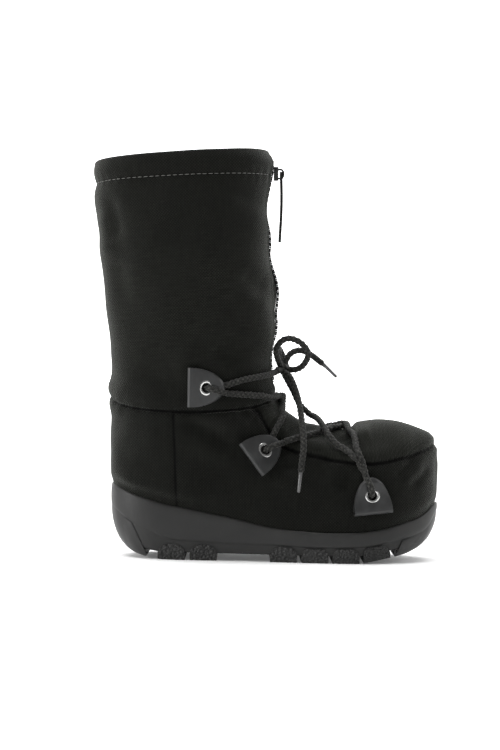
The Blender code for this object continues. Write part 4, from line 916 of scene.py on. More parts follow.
class BOOT_OT_stage(bpy.types.Operator):
    """Adds the pale floor, the soft light and the camera"""

    bl_idname = "snow_boot.stage"
    bl_label = "Stage"

    def execute(self, context):
        deselect()
        bpy.ops.mesh.primitive_plane_add(size=12, location=(0, 3, 0))
        floor = context.object
        floor.name = floor.data.name = "floor"
        base = tuple(colours().floor)
        paint = Look("Pale floor", base, 0.9, Emission_Strength=0.10)
        paint.shader.inputs["Emission Color"].default_value = (1, 1, 1, 1)
        grain = paint.noise(paint.place(), 3.0)
        paint.drive("Base Color", paint.blended(paint.mapped(grain, 0.3, 0.7, 0, 1), scaled(base, 0.995), base))
        keep(floor, paint.material)
        world = bpy.data.worlds.new("Studio")
        world.use_nodes = True
        world.node_tree.nodes["Background"].inputs["Color"].default_value = (1.0, 1.0, 1.0, 1)
        world.node_tree.nodes["Background"].inputs["Strength"].default_value = 0.24
        context.scene.world = world
        deselect()
        bpy.ops.mesh.primitive_plane_add(size=14, location=(0, 4.2, 3.0), rotation=(math.pi / 2, 0, 0))
        wall = settle(context.object)
        wall.name = wall.data.name = "backdrop"
        glow = Look("Lit backdrop", (1, 1, 1), 0.9, Emission_Strength=1.2)
        glow.shader.inputs["Emission Color"].default_value = (1, 1, 1, 1)
        keep(wall, glow.material)
        sun = bpy.data.lights.new("overhead", "SUN")
        sun.energy, sun.angle = 5.2, math.radians(60)
        holder = bpy.data.objects.new("overhead", sun)
        holder.rotation_euler = (math.radians(-12), math.radians(-8), 0)
        context.scene.collection.objects.link(holder)
        for name, at, aim, size, power in (
            ("left_light", (-1.3, -0.55, 0.45), (0.0, 0, 0.10), 0.7, 13.0),
            ("right_light", (1.5, 0.25, 0.7), (0.1, 0, 0.12), 0.8, 6.0),
        ):
            lamp = bpy.data.lights.new(name, "AREA")
            lamp.energy, lamp.size = power, size
            holder = bpy.data.objects.new(name, lamp)
            holder.location = at
            holder.rotation_euler = (Vector(aim) - Vector(at)).to_track_quat("-Z", "Y").to_euler()
            context.scene.collection.objects.link(holder)
        camera = bpy.data.cameras.new("camera")
        camera.lens = 93.63
        camera.sensor_width = 36
        camera.clip_start = 0.05
        eye = bpy.data.objects.new("camera", camera)
        eye.location = (0.0685, -1.740, 0.162)
        eye.rotation_euler = (math.radians(90), math.radians(-1.0), 0)
        context.scene.collection.objects.link(eye)
        context.scene.camera = eye
        context.scene.view_settings.view_transform = "Standard"
        return {"FINISHED"}


class BOOT_OT_upper(bpy.types.Operator):
    """Builds the fabric upper with its wall, lining, folds and seams"""

    bl_idname = "snow_boot.upper"
    bl_label = "Upper"

    def execute(self, context):
        s, cloth = sizes(), skin()
        n = cloth.columns
        rows = [cloth.grid[k] for k in range(cloth.rows)]
        rim, rim_normal = cloth.grid[0], cloth.normal[0]
        up = cloth.plain[0] - cloth.plain[3]
        up /= np.linalg.norm(up, axis=1)[:, None]
        roll = []
        for angle in np.radians([150, 120, 90, 60, 30]):
            roll.append(rim - rim_normal * s.wall * (0.5 - 0.5 * math.cos(angle))
                        + up * s.wall * 0.55 * math.sin(angle))
        inside = []
        for k in range(0, cloth.rows, 4):
            inner = cloth.plain[k] - cloth.normal[k] * (s.wall - cloth.sunk[k])[:, None]
            floor = level(inner[:, 0])[2]
            inner[:, 2] = np.maximum(inner[:, 2], floor + 0.0009)
            inside.append(inner)
        rings = inside[::-1] + roll + rows
        points = np.vstack(rings)
        count = len(rings)
        faces = []
        for k in range(count - 1):
            for j in range(n):
                a, b = k * n + j, k * n + (j + 1) % n
                faces.append((a, b, b + n, a + n))
        points = list(points)
        for start in (0, (count - 1) * n):
            points.append(np.mean([points[start + j] for j in range(n)], axis=0))
            tip = len(points) - 1
            for j in range(n):
                a, b = start + j, start + (j + 1) % n
                faces.append((a, b, tip) if start else (b, a, tip))
        mesh = bpy.data.meshes.new("boot_upper")
        mesh.from_pydata([tuple(p) for p in points], [], faces)
        made = bpy.data.objects.new("boot_upper", mesh)
        context.scene.collection.objects.link(made)
        mesh.shade_smooth()
        keep(made, look("fabric"), look("lining"))
        skip = (len(inside) + len(roll))
        lining_rings = len(inside) - 2
        material = np.zeros(len(faces), np.int32)
        material[: lining_rings * n] = 1
        material[(count - 1) * n: (count - 1) * n + n] = 1
        mesh.polygons.foreach_set("material_index", material)
        total = len(points)
        for name, values, rest in (("seam_ankle", cloth.ankle, 0.05), ("seam_vamp", cloth.vamp, 0.05),
                                   ("seam_heel", cloth.heel, 0.05), ("seam_hem", cloth.hem, 0.05)):
            store = np.full(total, rest, np.float32)
            store[skip * n: skip * n + cloth.rows * n] = values.ravel()
            mesh.attributes.new(name, "FLOAT", "POINT").data.foreach_set("value", store)
        self.unwrap(mesh, cloth, skip, count, n)
        outward(made)
        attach(made, "boot")
        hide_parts("upper")
        return {"FINISHED"}

    def unwrap(self, mesh, cloth, skip, count, n):
        """Lays the cloth's grain flat on each panel: round the boot and down, or across the top of the foot."""
        layer = mesh.uv_layers.new(name="UVMap")
        flat_plain = cloth.plain
        run = cloth.plan_run.reshape(cloth.rows, n)
        uv = np.zeros((len(mesh.loops), 2), np.float32)
        seam_row = cloth.ring_row[cloth.seam_ring]
        around = cloth.around
        vertex = np.zeros(len(mesh.loops), np.int32)
        mesh.loops.foreach_get("vertex_index", vertex)
        starts = np.zeros(len(mesh.polygons), np.int32)
        totals = np.zeros(len(mesh.polygons), np.int32)
        mesh.polygons.foreach_get("loop_start", starts)
        mesh.polygons.foreach_get("loop_total", totals)
        scale = around[cloth.ring_row[6], -1]
        for face in range((count - 1) * n):
            ring, column = divmod(face, n)
            first = starts[face]
            for corner in range(totals[face]):
                v = vertex[first + corner]
                r, c = divmod(int(v), n)
                row = max(0, r - skip)
                wrapped = c == 0 and column == n - 1
                share = (1.0 if wrapped else around[row, c] / around[row, -1])
                if ring < skip or row <= seam_row and ring - skip < seam_row:
                    uv[first + corner] = (share * scale, -(cloth.down[row, c] if r >= skip else r * 0.004))
                elif cloth.vamp[min(ring - skip, cloth.rows - 1), column] > 0 and \
                        cloth.vamp[min(ring - skip, cloth.rows - 1), column] < 0.049:
                    p = flat_plain[row, c]
                    uv[first + corner] = (p[0], p[1])
                else:
                    p = flat_plain[row, c]
                    side = run[row, c]
                    if wrapped or (column >= n // 2 and side < 0.02):
                        side += cloth.outline_length if side < 0.1 else 0.0
                    uv[first + corner] = (side, p[2])
        layer.data.foreach_set("uv", uv.ravel())


class BOOT_OT_hem(bpy.types.Operator):
    """Sews the pale stitches of the hem"""

    bl_idname = "snow_boot.hem"
    bl_label = "Hem stitches"

    def execute(self, context):
        s, cloth = sizes(), skin()
        row = cloth.ring_row[2]
        ring = cloth.grid[row]
        away = cloth.normal[row]
        half = s.placket_width / 2 + 0.002
        front = cloth.columns // 2
        left = [j for j in range(front) if not (ring[j, 0] > 0.05 and abs(ring[j, 1]) < half)]
        right = [j for j in range(front, cloth.columns) if not (ring[j, 0] > 0.05 and abs(ring[j, 1]) < half)]
        order = right + left
        run = smooth_run([ring[j] + away[j] * 0.00025 for j in order], 0.0004)
        per = s.stitch / 0.0004
        points, faces = [], []
        k = 0
        while (k + 1) * per < len(run) - 1:
            first, last = k * per + 0.10 * per, (k + 1) * per - 0.12 * per
            base = len(points)
            path = [run[int(round(first + (last - first) * t))] for t in (0.0, 0.2, 0.5, 0.8, 1.0)]
            radii = (0.00010, 0.00022, 0.00026, 0.00022, 0.00010)
            normal = (path[2] - Vector((0.0, 0.0, path[2].z))).normalized()
            axis = (path[-1] - path[0]).normalized()
            across = axis.cross(normal).normalized()
            normal = across.cross(axis)
            for t, (at, radius) in enumerate(zip(path, radii)):
                sink = -0.00035 if t in (0, 4) else 0.0
                for a in range(6):
                    turn = a * math.pi / 3
                    points.append(at + across * math.cos(turn) * radius + normal * (math.sin(turn) * radius + sink))
            for t in range(4):
                for a in range(6):
                    b = (a + 1) % 6
                    faces.append((base + t * 6 + a, base + t * 6 + b, base + t * 6 + 6 + b, base + t * 6 + 6 + a))
            faces.append(tuple(base + a for a in range(6))[::-1])
            faces.append(tuple(base + 24 + a for a in range(6)))
            k += 1
        made = outward(mesh_piece("hem_stitches", points, faces, look("thread")))
        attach(made, "boot")
        return {"FINISHED"}


class BOOT_OT_sole(bpy.types.Operator):
    """Moulds the cup sole with its groove and the blocks of its tread"""

    bl_idname = "snow_boot.sole"
    bl_label = "Sole"

    def rolled(self, loop, angle):
        s = sizes()
        moved = loop.copy()
        x = loop[:, 0]
        back, tip, reach = float(along(0)), float(along(1)), 0.21 * s.sole_length
        heel = np.clip((back + reach - x) / reach, 0, 1) ** 1.5
        toe = np.clip((x - tip + reach) / reach, 0, 1) ** 1.5
        moved[:, 0] += (1 - np.sin(angle)) * (0.027 * heel - 0.024 * toe)
        return moved

    def band(self, base, away, angle, inset):
        ring = self.rolled(base + away * inset, angle)
        groove, under = level(base[:, 0])[1], level(ring[:, 0])[3]
        return np.column_stack([ring, under + (groove - 0.0008 - under) * (1 - math.cos(angle))])

    def skirt(self, base, away, inset, share):
        """A ring of the wall behind the lugs, from its lower edge (share 0) to the groove (share 1)."""
        groove, under = level(base[:, 0])[1], level(base[:, 0])[3]
        low = np.minimum(0.58, 0.0066 / (groove - under))
        share = low + (1 - low) * share
        ring = self.rolled(base + away * np.broadcast_to(inset, len(base))[:, None], np.arccos(1 - share))
        under = level(ring[:, 0])[3]
        return np.column_stack([ring, under + (groove - 0.0008 - under) * share])

    def wall(self, base, away, inset, share, lift=0.0):
        ring = base + away * np.broadcast_to(inset, len(base))[:, None]
        rand, groove = level(base[:, 0])[:2]
        return np.column_stack([ring, groove + (rand - groove) * share + lift])

    def loft(self, name, rings, material):
        count = len(rings[0])
        points = np.vstack(rings)
        faces = []
        for k in range(len(rings) - 1):
            for j in range(count):
                a, b = k * count + j, k * count + (j + 1) % count
                faces.append((a, b, b + count, a + count))
        for start in (0, (len(rings) - 1) * count):
            for j in range(count // 2):
                a, b = start + j, start + j + 1
                c, d = start + (count - j - 1) % count, start + (count - j) % count
                face = tuple(dict.fromkeys((a, b, c, d)))
                if len(face) > 2:
                    faces.append(face)
        return outward(mesh_piece(name, points, faces, material))

    def execute(self, context):
        s = sizes()
        base = plan_outline(150)
        away = inward(base)
        wall, g = s.sole_wall, s.groove
        floor_ring = base + away * wall
        floor = np.column_stack([floor_ring, level(floor_ring[:, 0])[2]])
        x = base[:, 0]
        g = g * (0.15 + 0.40 * ease((x + 0.022) / 0.03) * ease((float(along(0.96)) - x) / 0.05))
        rings = [self.skirt(base, away, g + 0.006, 0.0), self.skirt(base, away, g + 0.0012, 0.0)]
        rings += [self.skirt(base, away, g, t) for t in (0.08, 0.2, 0.35, 0.5, 0.65, 0.8, 0.92, 1.0)]
        rings += [self.wall(base, away, g, 0.0, 0.0002), self.wall(base, away, g * 0.75, 0.0, 0.0005),
                  self.wall(base, away, g * 0.25, 0.0, 0.0009), self.wall(base, away, 0.0, 0.0, 0.0016)]
        for share in (0.15, 0.3, 0.45, 0.6, 0.75, 0.86):
            rings.append(self.wall(base, away, -0.0003 * math.sin(share * math.pi), share))
        rings += [self.wall(base, away, 0.0001, 0.94), self.wall(base, away, 0.0004, 0.975),
                  self.wall(base, away, 0.0009, 0.994), self.wall(base, away, 0.0016, 1.0),
                  self.wall(base, away, 0.0026, 0.985), self.wall(base, away, 0.0035, 0.94),
                  self.wall(base, away, wall, 0.86), floor]
        cup = self.loft("sole_cup", rings, look("rubber"))
        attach(cup, "boot")
        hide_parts("outsole")
        self.tread(base, away)
        return {"FINISHED"}

    def prism(self, name, outline, low, high):
        count = len(outline)
        points = [(x, low, z) for x, z in outline] + [(x, high, z) for x, z in outline]
        faces = [(j, (j + 1) % count, (j + 1) % count + count, j + count) for j in range(count)]
        faces += [tuple(range(count)), tuple(range(count, 2 * count))]
        return outward(mesh_piece(name, points, faces, None))

    def tread(self, base, away):
        s = sizes()
        flush = 0.0006 - 0.0010 * ease((base[:, 0] + 0.046) / 0.012) * ease((float(along(0.95)) - base[:, 0]) / 0.02)
        tread = self.loft("sole_lugs", [self.band(base, away, math.radians(a), flush[:, None])
                                        for a in (0, 8, 16, 24, 32, 40, 48, 56, 64, 74, 90)]
                          + [self.band(base, away, math.radians(90), 0.0040)], look("lugs"))
        lug, high, half = 0.0236, 0.0138, s.ball_width
        blocks = []
        for k, middle in enumerate(LUGS):
            x, under = float(along(middle)), float(level(float(along(middle)))[3])
            dome = [(x + lug / 2 * math.cos(a),
                     under + high * (0.42 + 0.58 * math.sin(a))) for a in np.radians(np.linspace(0, 180, 25))]
            blocks.append(self.prism(f"lug_{k}", [(x - lug / 2, under - high), (x + lug / 2, under - high)] + dome,
                                     -half, half))
        deep, top = -0.2 * s.rand_height, s.rand_height
        at = lambda share: float(along(share))
        blocks.append(self.prism("heel_bumper", [(at(-0.05), deep), (at(0.112), deep), (at(0.116), 0.07 * top),
                                                 (at(0.065), 0.52 * top), (at(-0.05), top)], -half, half))
        blocks.append(self.prism("toe_bumper", [(at(0.858), deep), (at(1.05), deep), (at(1.05), top),
                                                (at(0.90), top), (at(0.884), 0.30 * top), (at(0.862), 0.10 * top)],
                                 -half, half))
        deselect()
        for block in blocks:
            block.select_set(True)
        bpy.context.view_layer.objects.active = blocks[0]
        bpy.ops.object.join()
        keeper = bpy.context.object
        change = tread.modifiers.new("Blocks", "BOOLEAN")
        change.operation, change.solver, change.object = "INTERSECT", "MANIFOLD", keeper
        cutters = [keeper]
        for side in (-1, 1):
            y = side * 0.155 * s.ball_width
            under = [(at(v), float(level(at(v))[3]) + 0.0055) for v in (0.10, 0.3, 0.5, 0.7, 0.78, 0.84, 0.90)]
            channel = self.prism("channel", [(at(0.90), -top), (at(0.10), -top)] + under, y - 0.0025, y + 0.0025)
            change = tread.modifiers.new("Channel", "BOOLEAN")
            change.operation, change.solver, change.object = "DIFFERENCE", "MANIFOLD", channel
            cutters.append(channel)
        apply_modifiers(tread)
        for other in cutters:
            bpy.data.objects.remove(other, do_unlink=True)
        soften = tread.modifiers.new("Edges", "BEVEL")
        soften.width, soften.segments, soften.limit_method = 0.0007, 2, "ANGLE"
        soften.angle_limit = math.radians(40)
        apply_modifiers(tread)
        tread.data.materials.clear()
        tread.data.materials.append(look("lugs"))
        tread.data.materials.append(look("rubber"))
        for face in tread.data.polygons:
            face.material_index = int(face.center.x < -0.014 or face.center.x > float(along(0.87)))
        tread.data.set_sharp_from_angle(angle=math.radians(50))
        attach(tread, "boot")


class BOOT_OT_insole(bpy.types.Operator):
    """Gives the insole its felt"""

    bl_idname = "snow_boot.insole"
    bl_label = "Insole"

    def execute(self, context):
        keep(frame["nodes"]["insole"], look("felt"))
        return {"FINISHED"}


def tab_frame(name, side, degrees):
    """Axes of a tab from its solids: towards its tip, along its fold and away from the boot."""
    tab = frame["nodes"][f"tab_{name}_{side}"]
    eyelet = frame["nodes"][f"eyelet_{name}_{side}"]
    flat = np.array([v.co for v in tab.data.vertices])
    ring = np.array([v.co for v in eyelet.data.vertices])
    centre = ring.mean(axis=0)
    normal = np.linalg.svd(flat - flat.mean(axis=0))[2][2]
    sign = -1 if side == "outer" else 1
    if normal[1] * sign < 0:
        normal = -normal
    centre = centre - normal * ((centre - flat.mean(axis=0)) @ normal)
    normal = Vector(normal)
    run = Vector((math.cos(math.radians(degrees)), 0, math.sin(math.radians(degrees))))
    run = (run - normal * run.dot(normal)).normalized()
    across = normal.cross(run)
    return Vector(centre), run, across, normal


class BOOT_OT_tabs(bpy.types.Operator):
    """Folds the six leather lace tabs and sets their eyelets"""

    bl_idname = "snow_boot.tabs"
    bl_label = "Lace tabs and eyelets"

    setback = 0.0132

    def execute(self, context):
        for name, degrees, lift in TABS:
            for side in ("outer", "inner"):
                place = tab_frame(name, side, degrees)
                self.tab(name, side, place, lift)
                self.eyelet(name, side, place, lift)
        return {"FINISHED"}

    @staticmethod
    def curl(u, lift):
        """How far the leather stands off at this distance from the fold."""
        s = sizes()
        return lift * 0.0026 * float(ease((u - 0.45 * s.tab_length) / (0.55 * s.tab_length)))

    def tab(self, name, side, place, lift):
        s = sizes()
        centre, run, across, normal = place
        sheet, half, reach = 0.0017, s.tab_width / 2, s.tab_length
        roll = 0.0030
        stations = np.sin(np.linspace(-math.pi / 2, math.pi / 2, 41))
        rings = []
        for v in stations:
            v = v * 0.9995
            tip = reach * max(0.0, 1 - abs(v) ** 2.0) ** 0.5
            tip = max(tip, 0.0010 + 0.05 * reach * (1 - abs(v)))
            crown = 0.0006 * (1 - v * v)
            ring = []
            # back layer from the tip to the fold, round the fold, and the front layer back to the tip
            flat = np.linspace(1, 0, 13)
            soft = lambda t: 0.5 * sheet * math.sqrt(max(0.0, 1 - max(0.0, (t - 0.93) / 0.07) ** 2))
            for t in flat:
                u = t * tip
                open_ = math.exp(-((u / 0.0065) ** 2))
                ring.append((u, -soft(t) * 2 * (1 - open_) - roll * open_ * 0.9))
            for a in np.linspace(-100, 100, 9)[1:-1]:
                ring.append((-roll * 0.9 * math.cos(math.radians(a)) - 0.0005, roll * math.sin(math.radians(a))))
            for t in flat[::-1]:
                u = t * tip
                open_ = math.exp(-((u / 0.0065) ** 2))
                ring.append((u, soft(t) * 2 * (1 - open_) + roll * open_ * 0.95 + crown * (1 - t) * t * 4))
            rings.append([(u, v * half, w + self.curl(u, lift)) for u, w in ring])
        count = len(rings[0])
        points = [centre + run * (u - self.setback) + across * v + normal * w for ring in rings for u, v, w in ring]
        faces = []
        for k in range(len(rings) - 1):
            for j in range(count):
                a, b = k * count + j, k * count + (j + 1) % count
                faces.append((a, b, b + count, a + count))
        faces += [tuple(range(count))[::-1], tuple((len(rings) - 1) * count + j for j in range(count))]
        made = outward(mesh_piece(f"leather_tab_{name}_{side}", points, faces, look("leather")), 0.00002)
        cutters = []
        deselect()
        bpy.ops.mesh.primitive_cylinder_add(vertices=40, radius=s.eyelet_hole / 2 + 0.0009, depth=0.03)
        hole = bpy.context.object
        hole.matrix_world = self.axes(place)
        settle(hole)
        cutters.append(hole)
        deselect()
        bpy.ops.mesh.primitive_cylinder_add(vertices=24, radius=roll * 0.52, depth=s.tab_width * 1.2,
                                            rotation=(math.pi / 2, 0, 0))
        loop = bpy.context.object
        settle(loop)
        loop.matrix_world = self.axes(place) @ Matrix.Translation((-self.setback + 0.0003, 0, 0.0001))
        settle(loop)
        cutters.append(loop)
        for k, other in enumerate(cutters):
            change = made.modifiers.new(f"Cut {k}", "BOOLEAN")
            change.operation, change.solver, change.object = "DIFFERENCE", "EXACT", other
        apply_modifiers(made)
        for other in cutters:
            bpy.data.objects.remove(other, do_unlink=True)
        made.data.materials.clear()
        made.data.materials.append(look("leather"))
        made.data.shade_smooth()
        made.data.set_sharp_from_angle(angle=math.radians(42))
        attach(made, "boot")
        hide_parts(f"tab_{name}_{side}")

    @staticmethod
    def axes(place):
        centre, run, across, normal = place
        frame_ = Matrix((run, across, normal)).transposed().to_4x4()
        frame_.translation = centre
        return frame_

    def eyelet(self, name, side, place, lift):
        s = sizes()
        outer, hole = s.eyelet / 2, s.eyelet_hole / 2
        face = 0.0019 + self.curl(self.setback, lift) * 0.4
        middle, thick = (outer + hole) / 2, (outer - hole) / 2
        deselect()
        bpy.ops.mesh.primitive_torus_add(major_segments=56, minor_segments=16, major_radius=middle,
                                         minor_radius=thick)
        made = bpy.context.object
        made.name = made.data.name = f"nickel_eyelet_{name}_{side}"
        made.scale = (1, 1, 0.42)
        settle(made)
        body = bmesh.new()
        body.from_mesh(made.data)
        for v in body.verts:
            r = math.hypot(v.co.x, v.co.y)
            if v.co.z < -0.00012:
                if r < middle:
                    v.co.z = -0.0030 if r < hole + 0.0004 else v.co.z
                else:
                    v.co.z = -0.00012
        body.to_mesh(made.data)
        body.free()
        made.data.shade_smooth()
        made.matrix_world = self.axes(place) @ Matrix.Translation((0, 0, face))
        settle(made)
        keep(made, look("nickel"))
        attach(made, "boot")
        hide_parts(f"eyelet_{name}_{side}")


class BOOT_OT_zip(bpy.types.Operator):
    """Lays the zip's tape and teeth, its slider and its pull"""

    bl_idname = "snow_boot.zip"
    bl_label = "Zip"

    def line(self):
        """Middle of the zip's channel: points, directions and outward normals from the rim down."""
        cloth = skin()
        front = cloth.columns // 2
        first, last = cloth.ring_row[0] + 3, cloth.ring_row[cloth.seam_ring] - 5
        points = cloth.grid[first:last, front]
        points = points * np.array([1, 0, 1])
        keep_every = smooth_run(points[::4], 0.0005)
        path = np.array([p[:] for p in keep_every])
        ahead = np.gradient(path, axis=0)
        ahead /= np.linalg.norm(ahead, axis=1)[:, None]
        normal = np.column_stack([-ahead[:, 2], np.zeros(len(path)), ahead[:, 0]])
        normal *= np.sign(normal[:, :1])
        return path, ahead, normal

    def execute(self, context):
        s = sizes()
        path, ahead, normal = self.line()
        half = s.placket_width / 2 - s.placket_depth - 0.0004
        rows, uvs = [], []
        widths = np.array([-1, -0.75, -0.5, -0.25, 0, 0.25, 0.5, 0.75, 1]) * half
        low, high = 0.0002, 0.0009
        section = [(w, high) for w in widths] + [(w, low) for w in widths[::-1]]
        picks = range(0, len(path), 5)
        for k in picks:
            for w, h in section:
                rows.append(path[k] + normal[k] * h + np.array([0, w, 0]))
                uvs.append((w, k * 0.0005))
        count = len(section)
        total = len(list(picks))
        faces = [(k * count + j, k * count + (j + 1) % count, (k + 1) * count + (j + 1) % count, (k + 1) * count + j)
                 for k in range(total - 1) for j in range(count)]
        faces += [tuple(range(count))[::-1], tuple((total - 1) * count + j for j in range(count))]
        tape = outward(mesh_piece("zip_tape_cloth", rows, faces, look("tape"), uvs))
        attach(tape, "boot")
        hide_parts("zip_tape")
        self.teeth(path, ahead, normal)
        self.slider()
        self.pull()
        return {"FINISHED"}

    def teeth(self, path, ahead, normal):
        deselect()
        bpy.ops.mesh.primitive_cube_add(size=1)
        tooth = bpy.context.object
        tooth.scale = (0.0034, 0.00105, 0.0017)
        settle(tooth)
        body = bmesh.new()
        body.from_mesh(tooth.data)
        bmesh.ops.bevel(body, geom=body.edges[:], offset=0.00028, segments=1, affect="EDGES")
        for v in body.verts:
            if v.co.x > 0.0008:
                v.co.y *= 1.25
        pattern = np.array([v.co[:] for v in body.verts])
        pattern_faces = [tuple(v.index for v in f.verts) for f in body.faces]
        body.free()
        bpy.data.objects.remove(tooth, do_unlink=True)
        points, faces = [], []
        step = 0.00125
        k = 0
        while True:
            at = int(round(k * step / 0.0005))
            if at > len(path) - 8:
                break
            side = 1 if k % 2 else -1
            centre = path[at] + normal[at] * (0.0009 + 0.00085)
            base = len(points)
            for px, py, pz in pattern:
                points.append(centre + np.array([0, side, 0]) * (0.00095 - px) + ahead[at] * py + normal[at] * pz)
            order = 1 if side > 0 else -1
            faces += [tuple(base + i for i in f[::order]) for f in pattern_faces]
            k += 1
        made = outward(mesh_piece("zip_chain", points, faces, look("teeth")))
        made.data.set_sharp_from_angle(angle=math.radians(30))
        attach(made, "boot")
        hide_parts("zip_teeth")

    def slider(self):
        low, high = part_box("zip_slider")
        middle = (low + high) / 2
        deselect()
        bpy.ops.mesh.primitive_cube_add(size=1, location=(low.x + 0.0012, 0, middle.z))
        body = bpy.context.object
        body.name = body.data.name = "zip_slider_body"
        body.scale = (0.0034, 0.0094, high.z - low.z)
        settle(body)
        bpy.context.view_layer.objects.active = body
        body.select_set(True)
        bpy.ops.object.mode_set(mode="EDIT")
        bpy.ops.mesh.select_all(action="SELECT")
        bpy.ops.mesh.subdivide(number_cuts=5)
        bpy.ops.object.mode_set(mode="OBJECT")
        for v in body.data.vertices:
            t = (v.co.z - low.z) / (high.z - low.z)
            v.co.y *= 0.66 + 0.34 * float(ease(t * 1.3)) - 0.08 * max(0.0, t - 0.8)
            if v.co.x > low.x + 0.0018:
                v.co.x += 0.0007 * (1 - (v.co.y / 0.005) ** 2)
        soften = body.modifiers.new("Edges", "BEVEL")
        soften.width, soften.segments, soften.angle_limit = 0.0005, 3, math.radians(50)
        apply_modifiers(body)
        body.data.shade_smooth()
        body.data.set_sharp_from_angle(angle=math.radians(50))
        keep(body, look("enamel"))
        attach(body, "boot")
        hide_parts("zip_slider")
        path = [Vector((low.x + 0.0020, 0, middle.z + 0.0040)), Vector((high.x - 0.0018, 0, middle.z + 0.0038)),
                Vector((high.x - 0.0003, 0, middle.z + 0.0020)), Vector((high.x - 0.0001, 0, middle.z)),
                Vector((high.x - 0.0003, 0, middle.z - 0.0020)), Vector((high.x - 0.0018, 0, middle.z - 0.0038)),
                Vector((low.x + 0.0020, 0, middle.z - 0.0040))]
        bridge = self.bar("zip_slider_bridge", path, 0.0009, 0.0014)
        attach(bridge, "boot")

    def bar(self, name, path, radius, half_width):
        run = smooth_run(path, 0.0006)
        points, faces, sides = [], [], 10
        for k, at in enumerate(run):
            ahead = (run[min(k + 1, len(run) - 1)] - run[max(k - 1, 0)]).normalized()
            across = Vector((0, 1, 0))
            up = ahead.cross(across).normalized()
            for a in range(sides):
                turn = 2 * math.pi * a / sides
                points.append(at + across * math.cos(turn) * half_width + up * math.sin(turn) * radius)
        for k in range(len(run) - 1):
            for a in range(sides):
                b = (a + 1) % sides
                faces.append((k * sides + a, k * sides + b, (k + 1) * sides + b, (k + 1) * sides + a))
        faces += [tuple(range(sides))[::-1], tuple((len(run) - 1) * sides + a for a in range(sides))]
        return outward(mesh_piece(name, points, faces, look("enamel")))

    def pull(self):
        low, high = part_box("zip_pull")
        joint = next(j for j in frame["joints"] if j["name"] == "pull_hinge")
        pivot = Vector(joint.get("pos_m") or joint.get("pos"))
        deselect()
        bpy.ops.mesh.primitive_cube_add(size=1, location=(pivot.x, 0, (low.z + pivot.z) / 2))
        made = bpy.context.object
        made.name = made.data.name = "zip_pull_tab"
        made.scale = (0.0025, 0.0062, pivot.z - low.z + 0.0036)
        settle(made)
        bpy.context.view_layer.objects.active = made
        made.select_set(True)
        bpy.ops.object.mode_set(mode="EDIT")
        bpy.ops.mesh.select_all(action="SELECT")
        bpy.ops.mesh.subdivide(number_cuts=9)
        bpy.ops.object.mode_set(mode="OBJECT")
        for v in made.data.vertices:
            t = (pivot.z - v.co.z) / (pivot.z - low.z)
            v.co.y *= 0.72 + 0.28 * float(ease(t * 1.2)) - 0.30 * float(ease((t - 0.93) / 0.07))
            v.co.x += 0.0008 * math.sin(math.pi * min(1.0, max(0.0, t)) * 1.1)
        deselect()
        bpy.ops.mesh.primitive_cube_add(size=1, location=(pivot.x, 0, pivot.z - 0.0012))
        slot_ = bpy.context.object
        slot_.scale = (0.01, 0.0026, 0.0066)
        settle(slot_)
        change = made.modifiers.new("Slot", "BOOLEAN")
        change.operation, change.solver, change.object = "DIFFERENCE", "EXACT", slot_
        apply_modifiers(made)
        bpy.data.objects.remove(slot_, do_unlink=True)
        soften = made.modifiers.new("Edges", "BEVEL")
        soften.width, soften.segments, soften.angle_limit = 0.0005, 3, math.radians(50)
        apply_modifiers(made)
        made.data.shade_smooth()
        made.data.set_sharp_from_angle(angle=math.radians(50))
        keep(made, look("enamel"))
        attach(made, "pull")
        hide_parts("zip_pull")


def braid(name, path, radius, taper_start=False, taper_end=False):
    """A round lace braided of crossing strands, along the path."""
    run = smooth_run(path, 0.00062)
    sides, strands, pitch = 20, 4, 0.0088
    flat = np.array([p[:] for p in run])
    ahead = np.gradient(flat, axis=0)
    ahead /= np.linalg.norm(ahead, axis=1)[:, None]
    up = np.array([0.31, 0.17, 0.93])
    points, values, uvs = [], [], []
    for k in range(len(flat)):
        up = up - ahead[k] * (up @ ahead[k])
        up /= np.linalg.norm(up)
        side = np.cross(ahead[k], up)
        s = k * 0.00062
        for a in range(sides):
            turn = 2 * math.pi * a / sides
            u = strands * turn / (2 * math.pi) + s / pitch * strands * 0.5
            v = strands * turn / (2 * math.pi) - s / pitch * strands * 0.5
            over = (math.floor(u) + math.floor(v)) % 2 == 0
            ridge = abs(math.sin(math.pi * (u if over else v)))
            swell = abs(math.sin(math.pi * (v if over else u)))
            height = ridge * (0.55 + 0.45 * swell)
            r = radius * (0.79 + 0.36 * height)
            end = min(k, len(flat) - 1 - k)
            if end < 2 and ((taper_start and k < 2) or (taper_end and k > 2)):
                r *= (0.55, 0.85)[end]
            points.append(flat[k] + (side * math.cos(turn) + up * math.sin(turn)) * r)
            values.append(height)
            uvs.append((s, radius * turn))
    faces = []
    for k in range(len(flat) - 1):
        for a in range(sides):
            b = (a + 1) % sides
            faces.append((k * sides + a, k * sides + b, (k + 1) * sides + b, (k + 1) * sides + a))
    faces += [tuple(range(sides))[::-1], tuple((len(flat) - 1) * sides + a for a in range(sides))]
    made = mesh_piece(name, points, faces, look("lace"), uvs)
    # Relief of the strands, which the lace material also uses for its painted highlight on the ridges and painted
    # shade in the hollows.
    made.data.attributes.new("strand", "FLOAT", "POINT").data.foreach_set("value", np.array(values, np.float32))
    outward(made)
    return made, run


